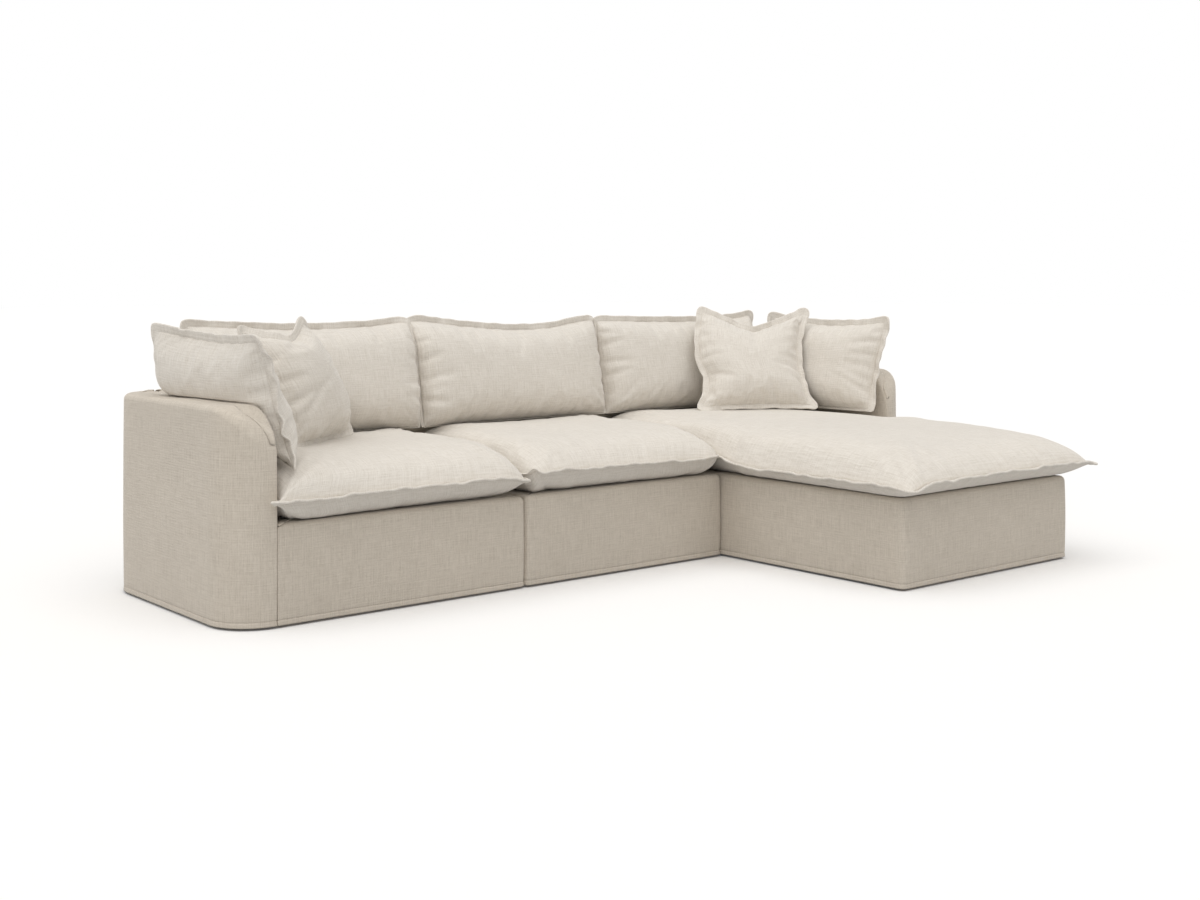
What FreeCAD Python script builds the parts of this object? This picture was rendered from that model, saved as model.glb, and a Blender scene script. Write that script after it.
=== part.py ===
"""Sectional sofa with a chaise: three units joined side by side, with loose cushions on them.

The origin is on the floor at the middle of the whole sofa. X runs to the sitter's left (the
viewer's right), Y runs to the back and Z runs up. All sizes are millimetres.
"""
import FreeCAD
import Part
import math
import os

os.makedirs("parts", exist_ok=True)

# Plan of the units
seat_width = 925.0
chaise_width = 965.0
arm_thickness = 152.0
sofa_depth = 906.0
chaise_reach = 857.0
back_thickness = 150.0
unit_gap = 0.6
chaise_overhang = 80.0

# Heights above the floor
hem_clearance = 8.0
deck_height = 310.0
arm_height = 663.0
arm_front_radius = 150.0

# Fabric and foam
cover_wall = 3.0
deck_pad_thickness = 40.0
back_pad_thickness = 20.0
arm_pad_thickness = 20.0
base_corner_radius = 20.0
cover_top_radius = 12.0

# Wooden frames
glide_height = 14.0
glide_radius = 30.0
glide_inset = 70.0
dust_cover_thickness = 1.5
rail_thickness = 25.0
corner_block = 60.0
post_width = 45.0
panel_thickness = 9.0
board_thickness = 18.0
strap_width = 60.0
strap_thickness = 1.5
straps_along = 6
straps_across = 4

# Bolts, connectors and their screws
bolt_radius = 4.0
bolt_head_radius = 9.0
bolt_head_height = 6.0
bolt_height = 90.0
bolt_inset = 170.0
arm_bolt_clearance = 40.0
hole_clearance = 0.3
cut_past = 1.0
outside_room = 1200.0
tongue_width = 50.0
tongue_thickness = 3.0
tongue_reach = 45.0
tongue_height = 130.0
tongue_inset = 170.0
blade_inset = 5.0
jaw_leaf = 1.5
jaw_clearance = 0.4
flange_height = 60.0
screw_radius = 2.5
screw_head_radius = 5.0
screw_head_height = 2.5
screw_length = 20.0

# Seat cushions
seat_crown = 178.0
seat_seam_height = 62.0
seat_overhang = 40.0
seam_flange = 22.0
flange_thickness = 8.0
soft_gap = 0.6
cushion_cover = 3.0
side_clearance = 1.0
body_inset = 4.0
dog_ear = 14.0
ear_reach = 50.0
chaise_ear = 70.0
edge_draw_in = 16.0
chaise_side_overhang = 30.0
neck_start = 120.0
neck_end = 10.0
neck_back = 5.0
neck_ease = 50.0
chaise_cushion_spread = 13.0
shoulder = 120.0
overfill = 12.0
seam_band = 2.0
rim = 3.0

# Back, side and throw cushions
standing_shoulder = 0.42
back_cushion_height = 440.0
back_cushion_front = 105.0
back_cushion_rear = 60.0
back_cushion_lean = 12.0
back_side_cut = 30.0
side_cushion_length = 620.0
side_cushion_height = 440.0
side_cushion_inner = 95.0
side_cushion_outer = 34.0
side_cushion_lean = 20.0
side_cushion_front = 14.0
throw_width = 500.0
throw_height = 490.0
slumped_throw_height = 440.0
throw_bulge = 78.0
right_throw_lean = 30.0
right_throw_yaw = -27.0
right_throw_x = 548.0
right_throw_y = 334.0
left_throw_lean = 18.0
left_throw_yaw = 33.0
left_throw_roll = -6.0
left_throw_x = 395.0
left_throw_y = 380.0

# Places worked out from the sizes
total_width = 2 * arm_thickness + 2 * seat_width + chaise_width + 2 * unit_gap
total_depth = sofa_depth + chaise_reach + chaise_overhang
arm_corner_radius = arm_thickness
left_x0 = -total_width / 2 + arm_thickness
left_x1 = left_x0 + seat_width
middle_x0 = left_x1 + unit_gap
middle_x1 = middle_x0 + seat_width
chaise_x0 = middle_x1 + unit_gap
chaise_x1 = chaise_x0 + chaise_width
back_y = total_depth / 2
front_y = back_y - sofa_depth
chaise_front_y = front_y - chaise_reach
back_face_y = back_y - back_thickness
seat_top = deck_height + seat_crown
seam_z = deck_height + seat_seam_height
strap_top = deck_height - cover_wall - deck_pad_thickness
frame_top = strap_top - 2 * strap_thickness
frame_bottom = glide_height


def vec(x, y, z):
    return FreeCAD.Vector(x, y, z)


def box(x0, x1, y0, y1, z0, z1):
    """A block between two corners."""
    return Part.makeBox(x1 - x0, y1 - y0, z1 - z0, vec(x0, y0, z0))


def rod(radius, start, end):
    """A round rod from one point to another."""
    axis = end.sub(start)
    return Part.makeCylinder(radius, axis.Length, start, axis)


def arc(start, middle, end):
    return Part.Arc(start, middle, end).toShape()


def line(start, end):
    return Part.LineSegment(start, end).toShape()


def save(name, solids):
    """One node: a single solid, or a group of separate solids."""
    shape = solids[0] if len(solids) == 1 else Part.makeCompound(solids)
    for solid in shape.Solids:
        if not solid.isValid():
            print("invalid solid in", name)
    print(name, len(shape.Solids), round(shape.Volume / 1e6, 3), "litres")
    shape.exportStep("parts/" + name + ".step")


def cut_all(shape, tools):
    """The shape with every tool cut away, as one solid."""
    for tool in tools:
        shape = shape.cut(tool)
    return shape.Solids[0] if len(shape.Solids) == 1 else shape


# Blocks with rounded corners

def rounded_prism(x0, x1, y0, y1, z0, z1, radii):
    """A block whose upright corners are rounded: front left, front right, back right, back left."""
    block = box(x0, x1, y0, y1, z0, z1)
    places = [(x0, y0), (x1, y0), (x1, y1), (x0, y1)]
    for (x, y), radius in zip(places, radii):
        if radius <= 0:
            continue
        side_x = 1 if x == x0 else -1
        side_y = 1 if y == y0 else -1
        corner = box(min(x, x + side_x * radius), max(x, x + side_x * radius),
                     min(y, y + side_y * radius), max(y, y + side_y * radius), z0, z1)
        post = Part.makeCylinder(radius, z1 - z0, vec(x + side_x * radius, y + side_y * radius, z0))
        block = block.cut(corner.cut(post))
    return block


def soften_top(block, radius):
    """Round the level edges round the top of a block."""
    top = block.BoundBox.ZMax
    edges = [edge for edge in block.Edges
             if abs(edge.BoundBox.ZMin - top) < 0.01 and abs(edge.BoundBox.ZMax - top) < 0.01]
    return block.makeFillet(radius, edges)


# Seat bases

def base_cover(unit):
    """The fabric box over a seat base: front, sides and deck, open below and at the back."""
    x0, x1, y0, y1 = unit["x0"], unit["x1"], unit["y0"], back_face_y
    radius = base_corner_radius
    outer = rounded_prism(x0, x1, y0, y1, hem_clearance, deck_height, [radius, radius, 0, 0])
    outer = soften_top(outer, cover_top_radius)
    inner_radius = radius - cover_wall
    inner = rounded_prism(x0 + cover_wall, x1 - cover_wall, y0 + cover_wall, y1,
                          hem_clearance, deck_height - cover_wall,
                          [inner_radius, inner_radius, 0, 0])
    inner = soften_top(inner, cover_top_radius - cover_wall)
    return outer.cut(inner)


def deck_pad(unit):
    """The foam pad that lies on the webbing under the deck fabric."""
    x0 = unit["x0"] + cover_wall
    x1 = unit["x1"] - cover_wall
    y0 = unit["y0"] + cover_wall
    radius = base_corner_radius - cover_wall
    pad = rounded_prism(x0, x1, y0, back_face_y, strap_top, deck_height - cover_wall,
                        [radius, radius, 0, 0])
    return soften_top(pad, cover_top_radius - cover_wall)


def seat_frame(unit):
    """Front and back rails, side rails, cross rails and a block in each corner."""
    x0 = unit["x0"] + cover_wall
    x1 = unit["x1"] - cover_wall
    y0 = unit["y0"] + cover_wall
    y1 = back_face_y
    z0, z1 = frame_bottom, frame_top
    radius = base_corner_radius - cover_wall
    front = rounded_prism(x0, x1, y0, y0 + rail_thickness, z0, z1, [radius, radius, 0, 0])
    back = box(x0, x1, y1 - rail_thickness, y1, z0, z1)
    inner_y0 = y0 + rail_thickness
    inner_y1 = y1 - rail_thickness
    left = box(x0, x0 + rail_thickness, inner_y0, inner_y1, z0, z1)
    right = box(x1 - rail_thickness, x1, inner_y0, inner_y1, z0, z1)
    rails = [front, back, left, right]
    inner_x0 = x0 + rail_thickness
    inner_x1 = x1 - rail_thickness
    for number in range(1, unit["cross_rails"] + 1):
        y = inner_y0 + (inner_y1 - inner_y0) * number / (unit["cross_rails"] + 1)
        cross = box(inner_x0, inner_x1, y - rail_thickness / 2, y + rail_thickness / 2, z0, z1)
        rails.append(cross)
    for x in (inner_x0, inner_x1 - corner_block):
        for y in (inner_y0, inner_y1 - corner_block):
            rails.append(box(x, x + corner_block, y, y + corner_block, z0, z1))
    return rails


def webbing(unit):
    """Straps from front to back with a second layer of straps across them."""
    x0 = unit["x0"] + cover_wall
    x1 = unit["x1"] - cover_wall
    y0 = unit["y0"] + cover_wall
    y1 = back_face_y
    radius = base_corner_radius
    straps = []
    for number in range(straps_along):
        middle = x0 + (x1 - x0) * (number + 0.5) / straps_along
        straps.append(box(middle - strap_width / 2, middle + strap_width / 2,
                          y0 + radius, y1, frame_top, frame_top + strap_thickness))
    for number in range(unit["straps_across"]):
        middle = y0 + (y1 - y0) * (number + 0.5) / unit["straps_across"]
        straps.append(box(x0, x1, middle - strap_width / 2, middle + strap_width / 2,
                          frame_top + strap_thickness, strap_top))
    return straps


def glide_places(unit):
    """Where the glides stand: near each corner, with a pair half way along a chaise."""
    xs = [unit["x0"] + glide_inset, unit["x1"] - glide_inset]
    ys = [unit["y0"] + glide_inset, back_face_y - glide_inset]
    if unit["cross_rails"] > 1:
        ys.append((unit["y0"] + back_face_y) / 2)
    return [(x, y) for x in xs for y in ys]


def glides(unit):
    """Round plastic glides under the frame, the only pieces that touch the floor."""
    return [Part.makeCylinder(glide_radius, glide_height, vec(x, y, 0))
            for x, y in glide_places(unit)]


def dust_cover(unit):
    """The thin cloth under the frame, with a hole round each glide."""
    edge = cover_wall + 2
    sheet = box(unit["x0"] + edge, unit["x1"] - edge, unit["y0"] + edge + base_corner_radius,
                back_face_y, frame_bottom - dust_cover_thickness, frame_bottom)
    holes = [Part.makeCylinder(glide_radius + hole_clearance, glide_height, vec(x, y, 0))
             for x, y in glide_places(unit)]
    return cut_all(sheet, holes)


# Backs

def back_cover(unit):
    """The fabric box over a back, open below."""
    x0, x1 = unit["x0"], unit["x1"]
    outer = box(x0, x1, back_face_y, back_y, hem_clearance, arm_height)
    outer = soften_top(outer, cover_top_radius)
    inner = box(x0 + cover_wall, x1 - cover_wall, back_face_y + cover_wall, back_y - cover_wall,
                hem_clearance, arm_height - cover_wall)
    inner = soften_top(inner, cover_top_radius - cover_wall)
    return outer.cut(inner)


def back_envelope(unit, inset):
    """The block inside a back at some depth below the fabric's outside."""
    return (unit["x0"] + inset, unit["x1"] - inset, back_face_y + inset, back_y - inset,
            frame_bottom, arm_height - inset)


def back_pad(unit):
    """Foam all round the back frame, under the fabric."""
    outer = box(*back_envelope(unit, cover_wall))
    outer = soften_top(outer, cover_top_radius - cover_wall)
    inner = box(*back_envelope(unit, cover_wall + back_pad_thickness))
    return outer.cut(inner)


def back_frame(unit):
    """Two end posts, a middle post and three rails between them."""
    x0, x1, y0, y1, z0, z1 = back_envelope(unit, cover_wall + back_pad_thickness)
    middle = (x0 + x1) / 2
    posts = [(x0, x0 + post_width), (middle - post_width / 2, middle + post_width / 2),
             (x1 - post_width, x1)]
    pieces = [box(a, b, y0, y1, z0, z1) for a, b in posts]
    rail_height = 2 * rail_thickness
    rails = ((z0, bolt_height + rail_thickness),
             (deck_height + rail_thickness, deck_height + rail_thickness + rail_height),
             (z1 - rail_height, z1))
    for a, b in ((posts[0][1], posts[1][0]), (posts[1][1], posts[2][0])):
        for low, high in rails:
            pieces.append(box(a, b, y0, y0 + post_width, low, high))
    return pieces


# Arms

def arm_block(arm, inset):
    """The arm's outside shape moved in by an inset.

    In plan both outer corners are quarter rounds as wide as the arm. Seen from the side the top
    runs level and then turns down to the front in a quarter round.
    """
    side = arm["side"]
    outer_radius = arm_corner_radius - inset
    outer_x = arm["outer"] - side * inset
    inner_x = arm["inner"]
    x0, x1 = min(outer_x, inner_x), max(outer_x, inner_x)
    y0, y1 = front_y + inset, back_y - inset
    z0, z1 = arm["bottom"], arm_height - inset
    radii = [outer_radius, 0, 0, outer_radius] if side < 0 else [0, outer_radius, outer_radius, 0]
    plan = rounded_prism(x0, x1, y0, y1, z0, z1, radii)
    radius = arm_front_radius - inset
    turn = radius * (1 - math.sqrt(0.5))
    start = vec(x0, y0, z1 - radius)
    middle = vec(x0, y0 + turn, z1 - turn)
    end = vec(x0, y0 + radius, z1)
    wire = Part.Wire([line(vec(x0, y0, z0), start), arc(start, middle, end),
                      line(end, vec(x0, y1, z1)), line(vec(x0, y1, z1), vec(x0, y1, z0)),
                      line(vec(x0, y1, z0), vec(x0, y0, z0))])
    profile = Part.Face(wire).extrude(vec(x1 - x0, 0, 0))
    kept_x = inner_x + side * inset
    kept = box(min(outer_x, kept_x), max(outer_x, kept_x), y0, y1, z0, z1)
    return plan.common(profile).common(kept)


def arm_cover(arm):
    """The fabric over an arm, open below."""
    outer = arm_block(dict(arm, bottom=hem_clearance), 0)
    inner = arm_block(dict(arm, bottom=hem_clearance), cover_wall)
    return outer.cut(inner)


def arm_pad(arm):
    """Foam round the arm frame, under the fabric."""
    outer = arm_block(dict(arm, bottom=frame_bottom), cover_wall)
    inner = arm_block(dict(arm, bottom=frame_bottom), cover_wall + arm_pad_thickness)
    return outer.cut(inner)


def arm_frame(arm):
    """Two plywood panels, boards with the arm's rounded outline, and upright posts."""
    inset = cover_wall + arm_pad_thickness
    block = arm_block(dict(arm, bottom=frame_bottom), inset)
    side = arm["side"]
    inner = arm["inner"] + side * inset
    outer = arm["outer"] - side * inset
    y0, y1 = front_y + inset, back_y - inset
    z0, z1 = frame_bottom, arm_height - inset
    inner_board = inner + side * panel_thickness
    outer_board = outer - side * panel_thickness
    straight_y0 = front_y + max(arm_corner_radius, arm_front_radius)
    straight_y1 = back_y - arm_corner_radius

    def slab(xa, xb, ya, yb, za, zb):
        return block.common(box(min(xa, xb), max(xa, xb), ya, yb, za, zb))

    pieces = [slab(inner, inner_board, y0, y1, z0, z1)]
    pieces.append(slab(outer_board, outer, straight_y0, straight_y1, z0, z1))
    middle_z = (z0 + arm_height - arm_front_radius) / 2
    for z in (z0, middle_z):
        pieces.append(slab(inner_board, outer_board, y0, y1, z, z + board_thickness))
    pieces.append(slab(inner_board, outer_board, straight_y0, y1, z1 - board_thickness, z1))
    for y in (straight_y0, straight_y1 - post_width):
        for low, high in ((z0, middle_z), (middle_z, z1 - board_thickness)):
            pieces.append(slab(inner_board, outer_board, y, y + post_width,
                               low + board_thickness, high))
    return pieces


# Fasteners

def bolt(start, direction, grip):
    """A bolt with its head at the start and a nut past the grip."""
    head = rod(bolt_head_radius, start - direction * bolt_head_height, start)
    shank = rod(bolt_radius, start, start + direction * (grip + bolt_head_height))
    nut = rod(bolt_head_radius, start + direction * grip,
              start + direction * (grip + bolt_head_height)).cut(shank)
    return [head.fuse(shank).removeSplitter(), nut]


def bolt_lines(unit):
    """Each bolt's start, direction and grip: through the seat's back rail into the back frame,
    and through the seat's side rail into the arm's inner panel."""
    x0, x1 = unit["x0"], unit["x1"]
    grip = rail_thickness + cover_wall + back_pad_thickness + post_width
    found = [(vec(x, back_face_y - rail_thickness, bolt_height), vec(0, 1, 0), grip)
             for x in (x0 + bolt_inset, x1 - bolt_inset)]
    arm = unit["arm"]
    if arm:
        side = arm["side"]
        edge = x0 if side < 0 else x1
        start_x = edge - side * (cover_wall + rail_thickness)
        grip = rail_thickness + 2 * cover_wall + arm_pad_thickness + panel_thickness
        front_post_end = front_y + max(arm_corner_radius, arm_front_radius) + post_width
        for y in (front_post_end + arm_bolt_clearance, back_face_y - bolt_inset):
            found.append((vec(start_x, y, bolt_height), vec(side, 0, 0), grip))
    return found


def bolt_holes(unit):
    """Clearance holes for the bolts' shanks."""
    radius = bolt_radius + hole_clearance
    return [rod(radius, start, start + direction * grip)
            for start, direction, grip in bolt_lines(unit)]


def connector_ys():
    return (front_y + tongue_inset, back_face_y - tongue_inset)


def screws(flange_x, side, y):
    """Two screws through a connector's flange into the rail behind it."""
    made = []
    for z in (tongue_height - flange_height / 3, tongue_height + flange_height / 3):
        start = vec(flange_x, y, z)
        head = rod(screw_head_radius, start - vec(side, 0, 0) * screw_head_height, start)
        shank = rod(screw_radius, start, start + vec(side, 0, 0) * screw_length)
        made.append(head.fuse(shank).removeSplitter())
    return made


def flange_plate(x, side, y):
    """A connector's upright plate against the inside of a rail, with its screw holes."""
    far = x + side * tongue_thickness
    plate = box(min(x, far), max(x, far), y - tongue_width / 2, y + tongue_width / 2,
                tongue_height - flange_height / 2, tongue_height + flange_height / 2)
    for z in (tongue_height - flange_height / 3, tongue_height + flange_height / 3):
        hole = rod(screw_radius + hole_clearance, vec(min(x, far) - cut_past, y, z),
                   vec(max(x, far) + cut_past, y, z))
        plate = plate.cut(hole)
    return plate


def tongue(edge, side, y):
    """A steel tongue from an outer unit, reaching past its edge into the middle unit."""
    flange_x = edge - side * (cover_wall + rail_thickness + tongue_thickness)
    plate = flange_plate(flange_x, side, y)
    end = edge + side * (unit_gap + cover_wall + rail_thickness + tongue_reach)
    blade = box(min(flange_x, end), max(flange_x, end), y - tongue_width / 2 + blade_inset,
                y + tongue_width / 2 - blade_inset, tongue_height - tongue_thickness / 2,
                tongue_height + tongue_thickness / 2)
    return plate.fuse(blade).removeSplitter()


def jaw(edge, side, y):
    """Two sprung leaves behind the middle unit's rail, one above and one below the tongue."""
    flange_x = edge - side * (cover_wall + rail_thickness + tongue_thickness)
    plate = flange_plate(flange_x, side, y)
    half_gap = tongue_thickness / 2 + jaw_clearance
    window = box(min(flange_x, edge), max(flange_x, edge), y - tongue_width / 2 + blade_inset - jaw_clearance,
                 y + tongue_width / 2 - blade_inset + jaw_clearance, tongue_height - half_gap,
                 tongue_height + half_gap)
    plate = plate.cut(window)
    tip = flange_x - side * tongue_reach
    for low in (tongue_height + half_gap, tongue_height - half_gap - jaw_leaf):
        leaf = box(min(flange_x, tip), max(flange_x, tip), y - tongue_width / 2 + blade_inset,
                   y + tongue_width / 2 - blade_inset, low, low + jaw_leaf)
        plate = plate.fuse(leaf)
    return plate.removeSplitter()


def connector_slots(edge, side):
    """Slots for the tongues and holes for the screws through a rail and its cover."""
    tools = []
    inner = edge - side * (cover_wall + rail_thickness)
    half = tongue_thickness / 2 + jaw_clearance
    for y in connector_ys():
        half_width = tongue_width / 2 - blade_inset + jaw_clearance
        tools.append(box(min(inner, edge), max(inner, edge), y - half_width, y + half_width,
                         tongue_height - half, tongue_height + half))
        for z in (tongue_height - flange_height / 3, tongue_height + flange_height / 3):
            tools.append(rod(screw_radius + hole_clearance, vec(inner, y, z),
                             vec(inner + side * (screw_length + cut_past), y, z)))
    return tools


# Cushions

def crowned_section(place, left, right, low, seam, high, shoulder):
    """A closed section across a cushion, with a flat edge at each seam.

    The top and the bottom each rise from the seam in an arc, run on over a shoulder in a flatter
    arc and meet a straight middle. place(across, height) gives the point in space.
    """
    profile = ((0, 0), (0.07, 0.33), (0.28, 0.66), (0.60, 0.92), (1, 1))

    def surface(level, direction):
        rise = abs(level - seam) - seam_band
        points = [(left + across * shoulder, seam + direction * (seam_band + up * rise))
                  for across, up in profile]
        mirrored = [(left + right - across, height) for across, height in reversed(points)]
        return [place(*point) for point in points], [place(*point) for point in mirrored]

    top_up, top_down = surface(high, 1)
    low_out, low_back = surface(low, -1)
    edges = [arc(*top_up[0:3]), arc(*top_up[2:5]), line(top_up[4], top_down[0]),
             arc(*top_down[0:3]), arc(*top_down[2:5]), line(top_down[4], low_back[4]),
             arc(low_back[4], low_back[3], low_back[2]), arc(low_back[2], low_back[1], low_back[0]),
             line(low_back[0], low_out[4]), arc(low_out[4], low_out[3], low_out[2]),
             arc(low_out[2], low_out[1], low_out[0]), line(low_out[0], top_up[0])]
    return Part.Wire(edges)


def bowed_outline(corners, draw_ins, level):
    """A closed outline at one level whose sides bow inwards by the given amounts."""
    edges = []
    count = len(corners)
    middle_x = sum(corner[0] for corner in corners) / count
    middle_y = sum(corner[1] for corner in corners) / count
    for number in range(count):
        a = corners[number]
        b = corners[(number + 1) % count]
        start, end = vec(a[0], a[1], level), vec(b[0], b[1], level)
        if draw_ins[number] == 0:
            edges.append(line(start, end))
            continue
        half_way = (start + end) * 0.5
        normal = vec(-(end - start).y, (end - start).x, 0).normalize()
        if normal.dot(vec(middle_x, middle_y, level) - half_way) < 0:
            normal = normal * -1
        edges.append(arc(start, half_way + normal * draw_ins[number], end))
    return Part.Wire(edges)


def seat_body(stations, inset):
    """The filled body of a seat cushion, lofted from front to back and pressed flat.

    Each station gives y, the left and right seams, and how full the cushion is there. The deck
    presses it flat below, and the cushions that stand on it press it flat above.
    """
    wires = []
    first, last = stations[0][0], stations[-1][0]
    front, back = first + 3 * inset, last - 3 * inset
    for y, left, right, fullness in stations:
        moved = front + (y - first) * (back - front) / (last - first)
        high = seam_z + rim + (seat_top + overfill - seam_z - rim - inset) * fullness
        low = seam_z - rim - (seam_z + overfill - deck_height - rim - inset) * fullness
        wires.append(crowned_section(lambda across, height: vec(across, moved, height),
                                     left + 3 * inset, right - 3 * inset, low, seam_z, high,
                                     shoulder))
    body = Part.makeLoft(wires, True, False)
    bound = body.BoundBox
    pressed = box(bound.XMin, bound.XMax, bound.YMin, bound.YMax,
                  deck_height + soft_gap + inset, seat_top - inset)
    return body.common(pressed)


def cushion_pieces(body_at, flange):
    """A cover with its flange seam, hollow inside, and the insert that fills it."""
    outer = body_at(0)
    cavity = body_at(cushion_cover)
    insert = body_at(cushion_cover + soft_gap)
    cover = outer.fuse(flange).cut(cavity)
    return cover, insert


def seat_cushion(stations, corners, draw_ins, keep_clear):
    """A seat cushion from its stations and its seam's outline, clear of the blocks given."""
    outline = Part.Face(bowed_outline(corners, draw_ins, seam_z - flange_thickness / 2))
    flange = outline.extrude(vec(0, 0, flange_thickness))
    flange = cut_all(flange, keep_clear)
    return cushion_pieces(lambda inset: seat_body(stations, inset), flange)


def seat_stations(x0, x1, y0, y1):
    """Stations for a cushion with the same width all the way."""
    rises = ((0, 0.02), (14, 0.34), (42, 0.62), (90, 0.88), (150, 1.0))
    last = y1 - body_inset
    places = [(y0 + step, fullness) for step, fullness in rises]
    places.append(((y0 + y1) / 2, 1.0))
    places += [(last - step * 0.6, fullness) for step, fullness in reversed(rises)]
    return [(y, x0 + body_inset, x1 - body_inset, fullness) for y, fullness in places]


def standing_body(width, height, front, rear, inset):
    """The filled body of a standing cushion, lofted from side to side in its own frame.

    X runs along the cushion, Z up it, and its front bulges towards -Y. The seam lies in the
    plane y = 0, drawn in between the corners.
    """
    wires = []
    half = width / 2 - seam_flange - edge_draw_in
    rises = ((1.0, 0.02), (0.955, 0.30), (0.87, 0.58), (0.70, 0.84), (0.42, 0.97), (0.0, 1.0))
    places = [(-share, full) for share, full in rises] + [(share, full) for share, full in
                                                        reversed(rises[:-1])]
    for share, full in places:
        x = share * (half - 3 * inset)
        draw = edge_draw_in * (1 - 0.6 * share * share)
        low = seam_flange + draw + 3 * inset
        high = height - low
        front_level = rim + (front - inset - rim) * full
        rear_level = rim + (rear - inset - rim) * full
        wires.append(crowned_section(lambda up, out: vec(x, -out, up), low, high, -rear_level, 0,
                                     front_level, (high - low) * standing_shoulder))
    return Part.makeLoft(wires, True, False)


def standing_cushion(width, height, front, rear):
    """A standing cushion in its own frame, with a thin flange drawn in between dog-eared corners."""
    corners = [(-width / 2, 0), (width / 2, 0), (width / 2, height), (-width / 2, height)]
    outline = bowed_outline(corners, [edge_draw_in] * 4, -flange_thickness / 2)
    flange = Part.Face(outline).extrude(vec(0, 0, flange_thickness))
    flange = flange.makeFillet(dog_ear, [edge for edge in flange.Edges
                                         if edge.BoundBox.ZLength > flange_thickness / 2])
    flange.rotate(vec(0, 0, 0), vec(1, 0, 0), 90)
    return cushion_pieces(lambda inset: standing_body(width, height, front, rear, inset), flange)


def turn(shape, roll, lean, yaw):
    """Roll in its own plane, lean the top back, then turn about the upright axis."""
    shape = shape.copy()
    shape.rotate(vec(0, 0, 0), vec(0, 1, 0), roll)
    shape.rotate(vec(0, 0, 0), vec(1, 0, 0), -lean)
    shape.rotate(vec(0, 0, 0), vec(0, 0, 1), yaw)
    return shape


def close_box(shape):
    """The box that a shape's surface just touches."""
    return shape.optimalBoundingBox(False, False)


def put(pieces, move):
    """Both pieces of a cushion, moved together."""
    for piece in pieces:
        piece.translate(move)
    return pieces


def seated(pieces, x, y):
    """A cushion's pieces moved to x and y with the lowest point just over the seat's crown."""
    drop = seat_top + soft_gap - close_box(pieces[0]).ZMin
    return put(pieces, vec(x, y, drop))


def back_cushion(x0, x1):
    """A back cushion between two upright planes, leaning on the back's inner face."""
    pieces = standing_cushion(x1 - x0, back_cushion_height, back_cushion_front, back_cushion_rear)
    pieces = [turn(piece, 0, back_cushion_lean, 0) for piece in pieces]
    pieces = seated(pieces, (x0 + x1) / 2, back_face_y)
    below_top = box(x0 - outside_room, x1 + outside_room, front_y - outside_room,
                    back_y + outside_room, 0, arm_height - cover_top_radius)
    reach = close_box(pieces[0].common(below_top)).YMax
    return put(pieces, vec(0, back_face_y - soft_gap - reach, 0))


def side_cushion(arm):
    """A side cushion leaning on an arm's inner face, with its front edge behind the arm's front."""
    side = arm["side"]
    pieces = standing_cushion(side_cushion_length, side_cushion_height, side_cushion_inner,
                              side_cushion_outer)
    pieces = [turn(piece, 0, side_cushion_lean, -90 * side) for piece in pieces]
    pieces = seated(pieces, arm["inner"], front_y + side_cushion_front + side_cushion_length / 2)
    below_top = box(arm["inner"] - outside_room, arm["inner"] + outside_room,
                    front_y - outside_room, back_y, 0, arm_height)
    bound = close_box(pieces[0].common(below_top))
    reach = bound.XMin if side < 0 else bound.XMax
    return put(pieces, vec(arm["inner"] - side * soft_gap - reach, 0, 0))


def throw_pillow(height, x, y, roll, lean, yaw):
    """A throw pillow standing on the seat with its lowest edge's middle near x and y."""
    pieces = standing_cushion(throw_width, height, throw_bulge, throw_bulge)
    pieces = [turn(piece, roll, lean, yaw) for piece in pieces]
    return seated(pieces, x, y)


# The three units and their arms
left_arm = {"side": -1, "inner": left_x0, "outer": -total_width / 2, "bottom": hem_clearance}
right_arm = {"side": 1, "inner": chaise_x1, "outer": total_width / 2, "bottom": hem_clearance}
units = {
    "left": {"x0": left_x0, "x1": left_x1, "y0": front_y, "arm": left_arm,
             "cross_rails": 1, "straps_across": straps_across},
    "middle": {"x0": middle_x0, "x1": middle_x1, "y0": front_y, "arm": None,
               "cross_rails": 1, "straps_across": straps_across},
    "chaise": {"x0": chaise_x0, "x1": chaise_x1, "y0": chaise_front_y, "arm": right_arm,
               "cross_rails": 3, "straps_across": 2 * straps_across},
}
joined_edges = {
    "left": [(left_x1, 1)],
    "middle": [(middle_x0, -1), (middle_x1, 1)],
    "chaise": [(chaise_x0, -1)],
}

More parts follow.
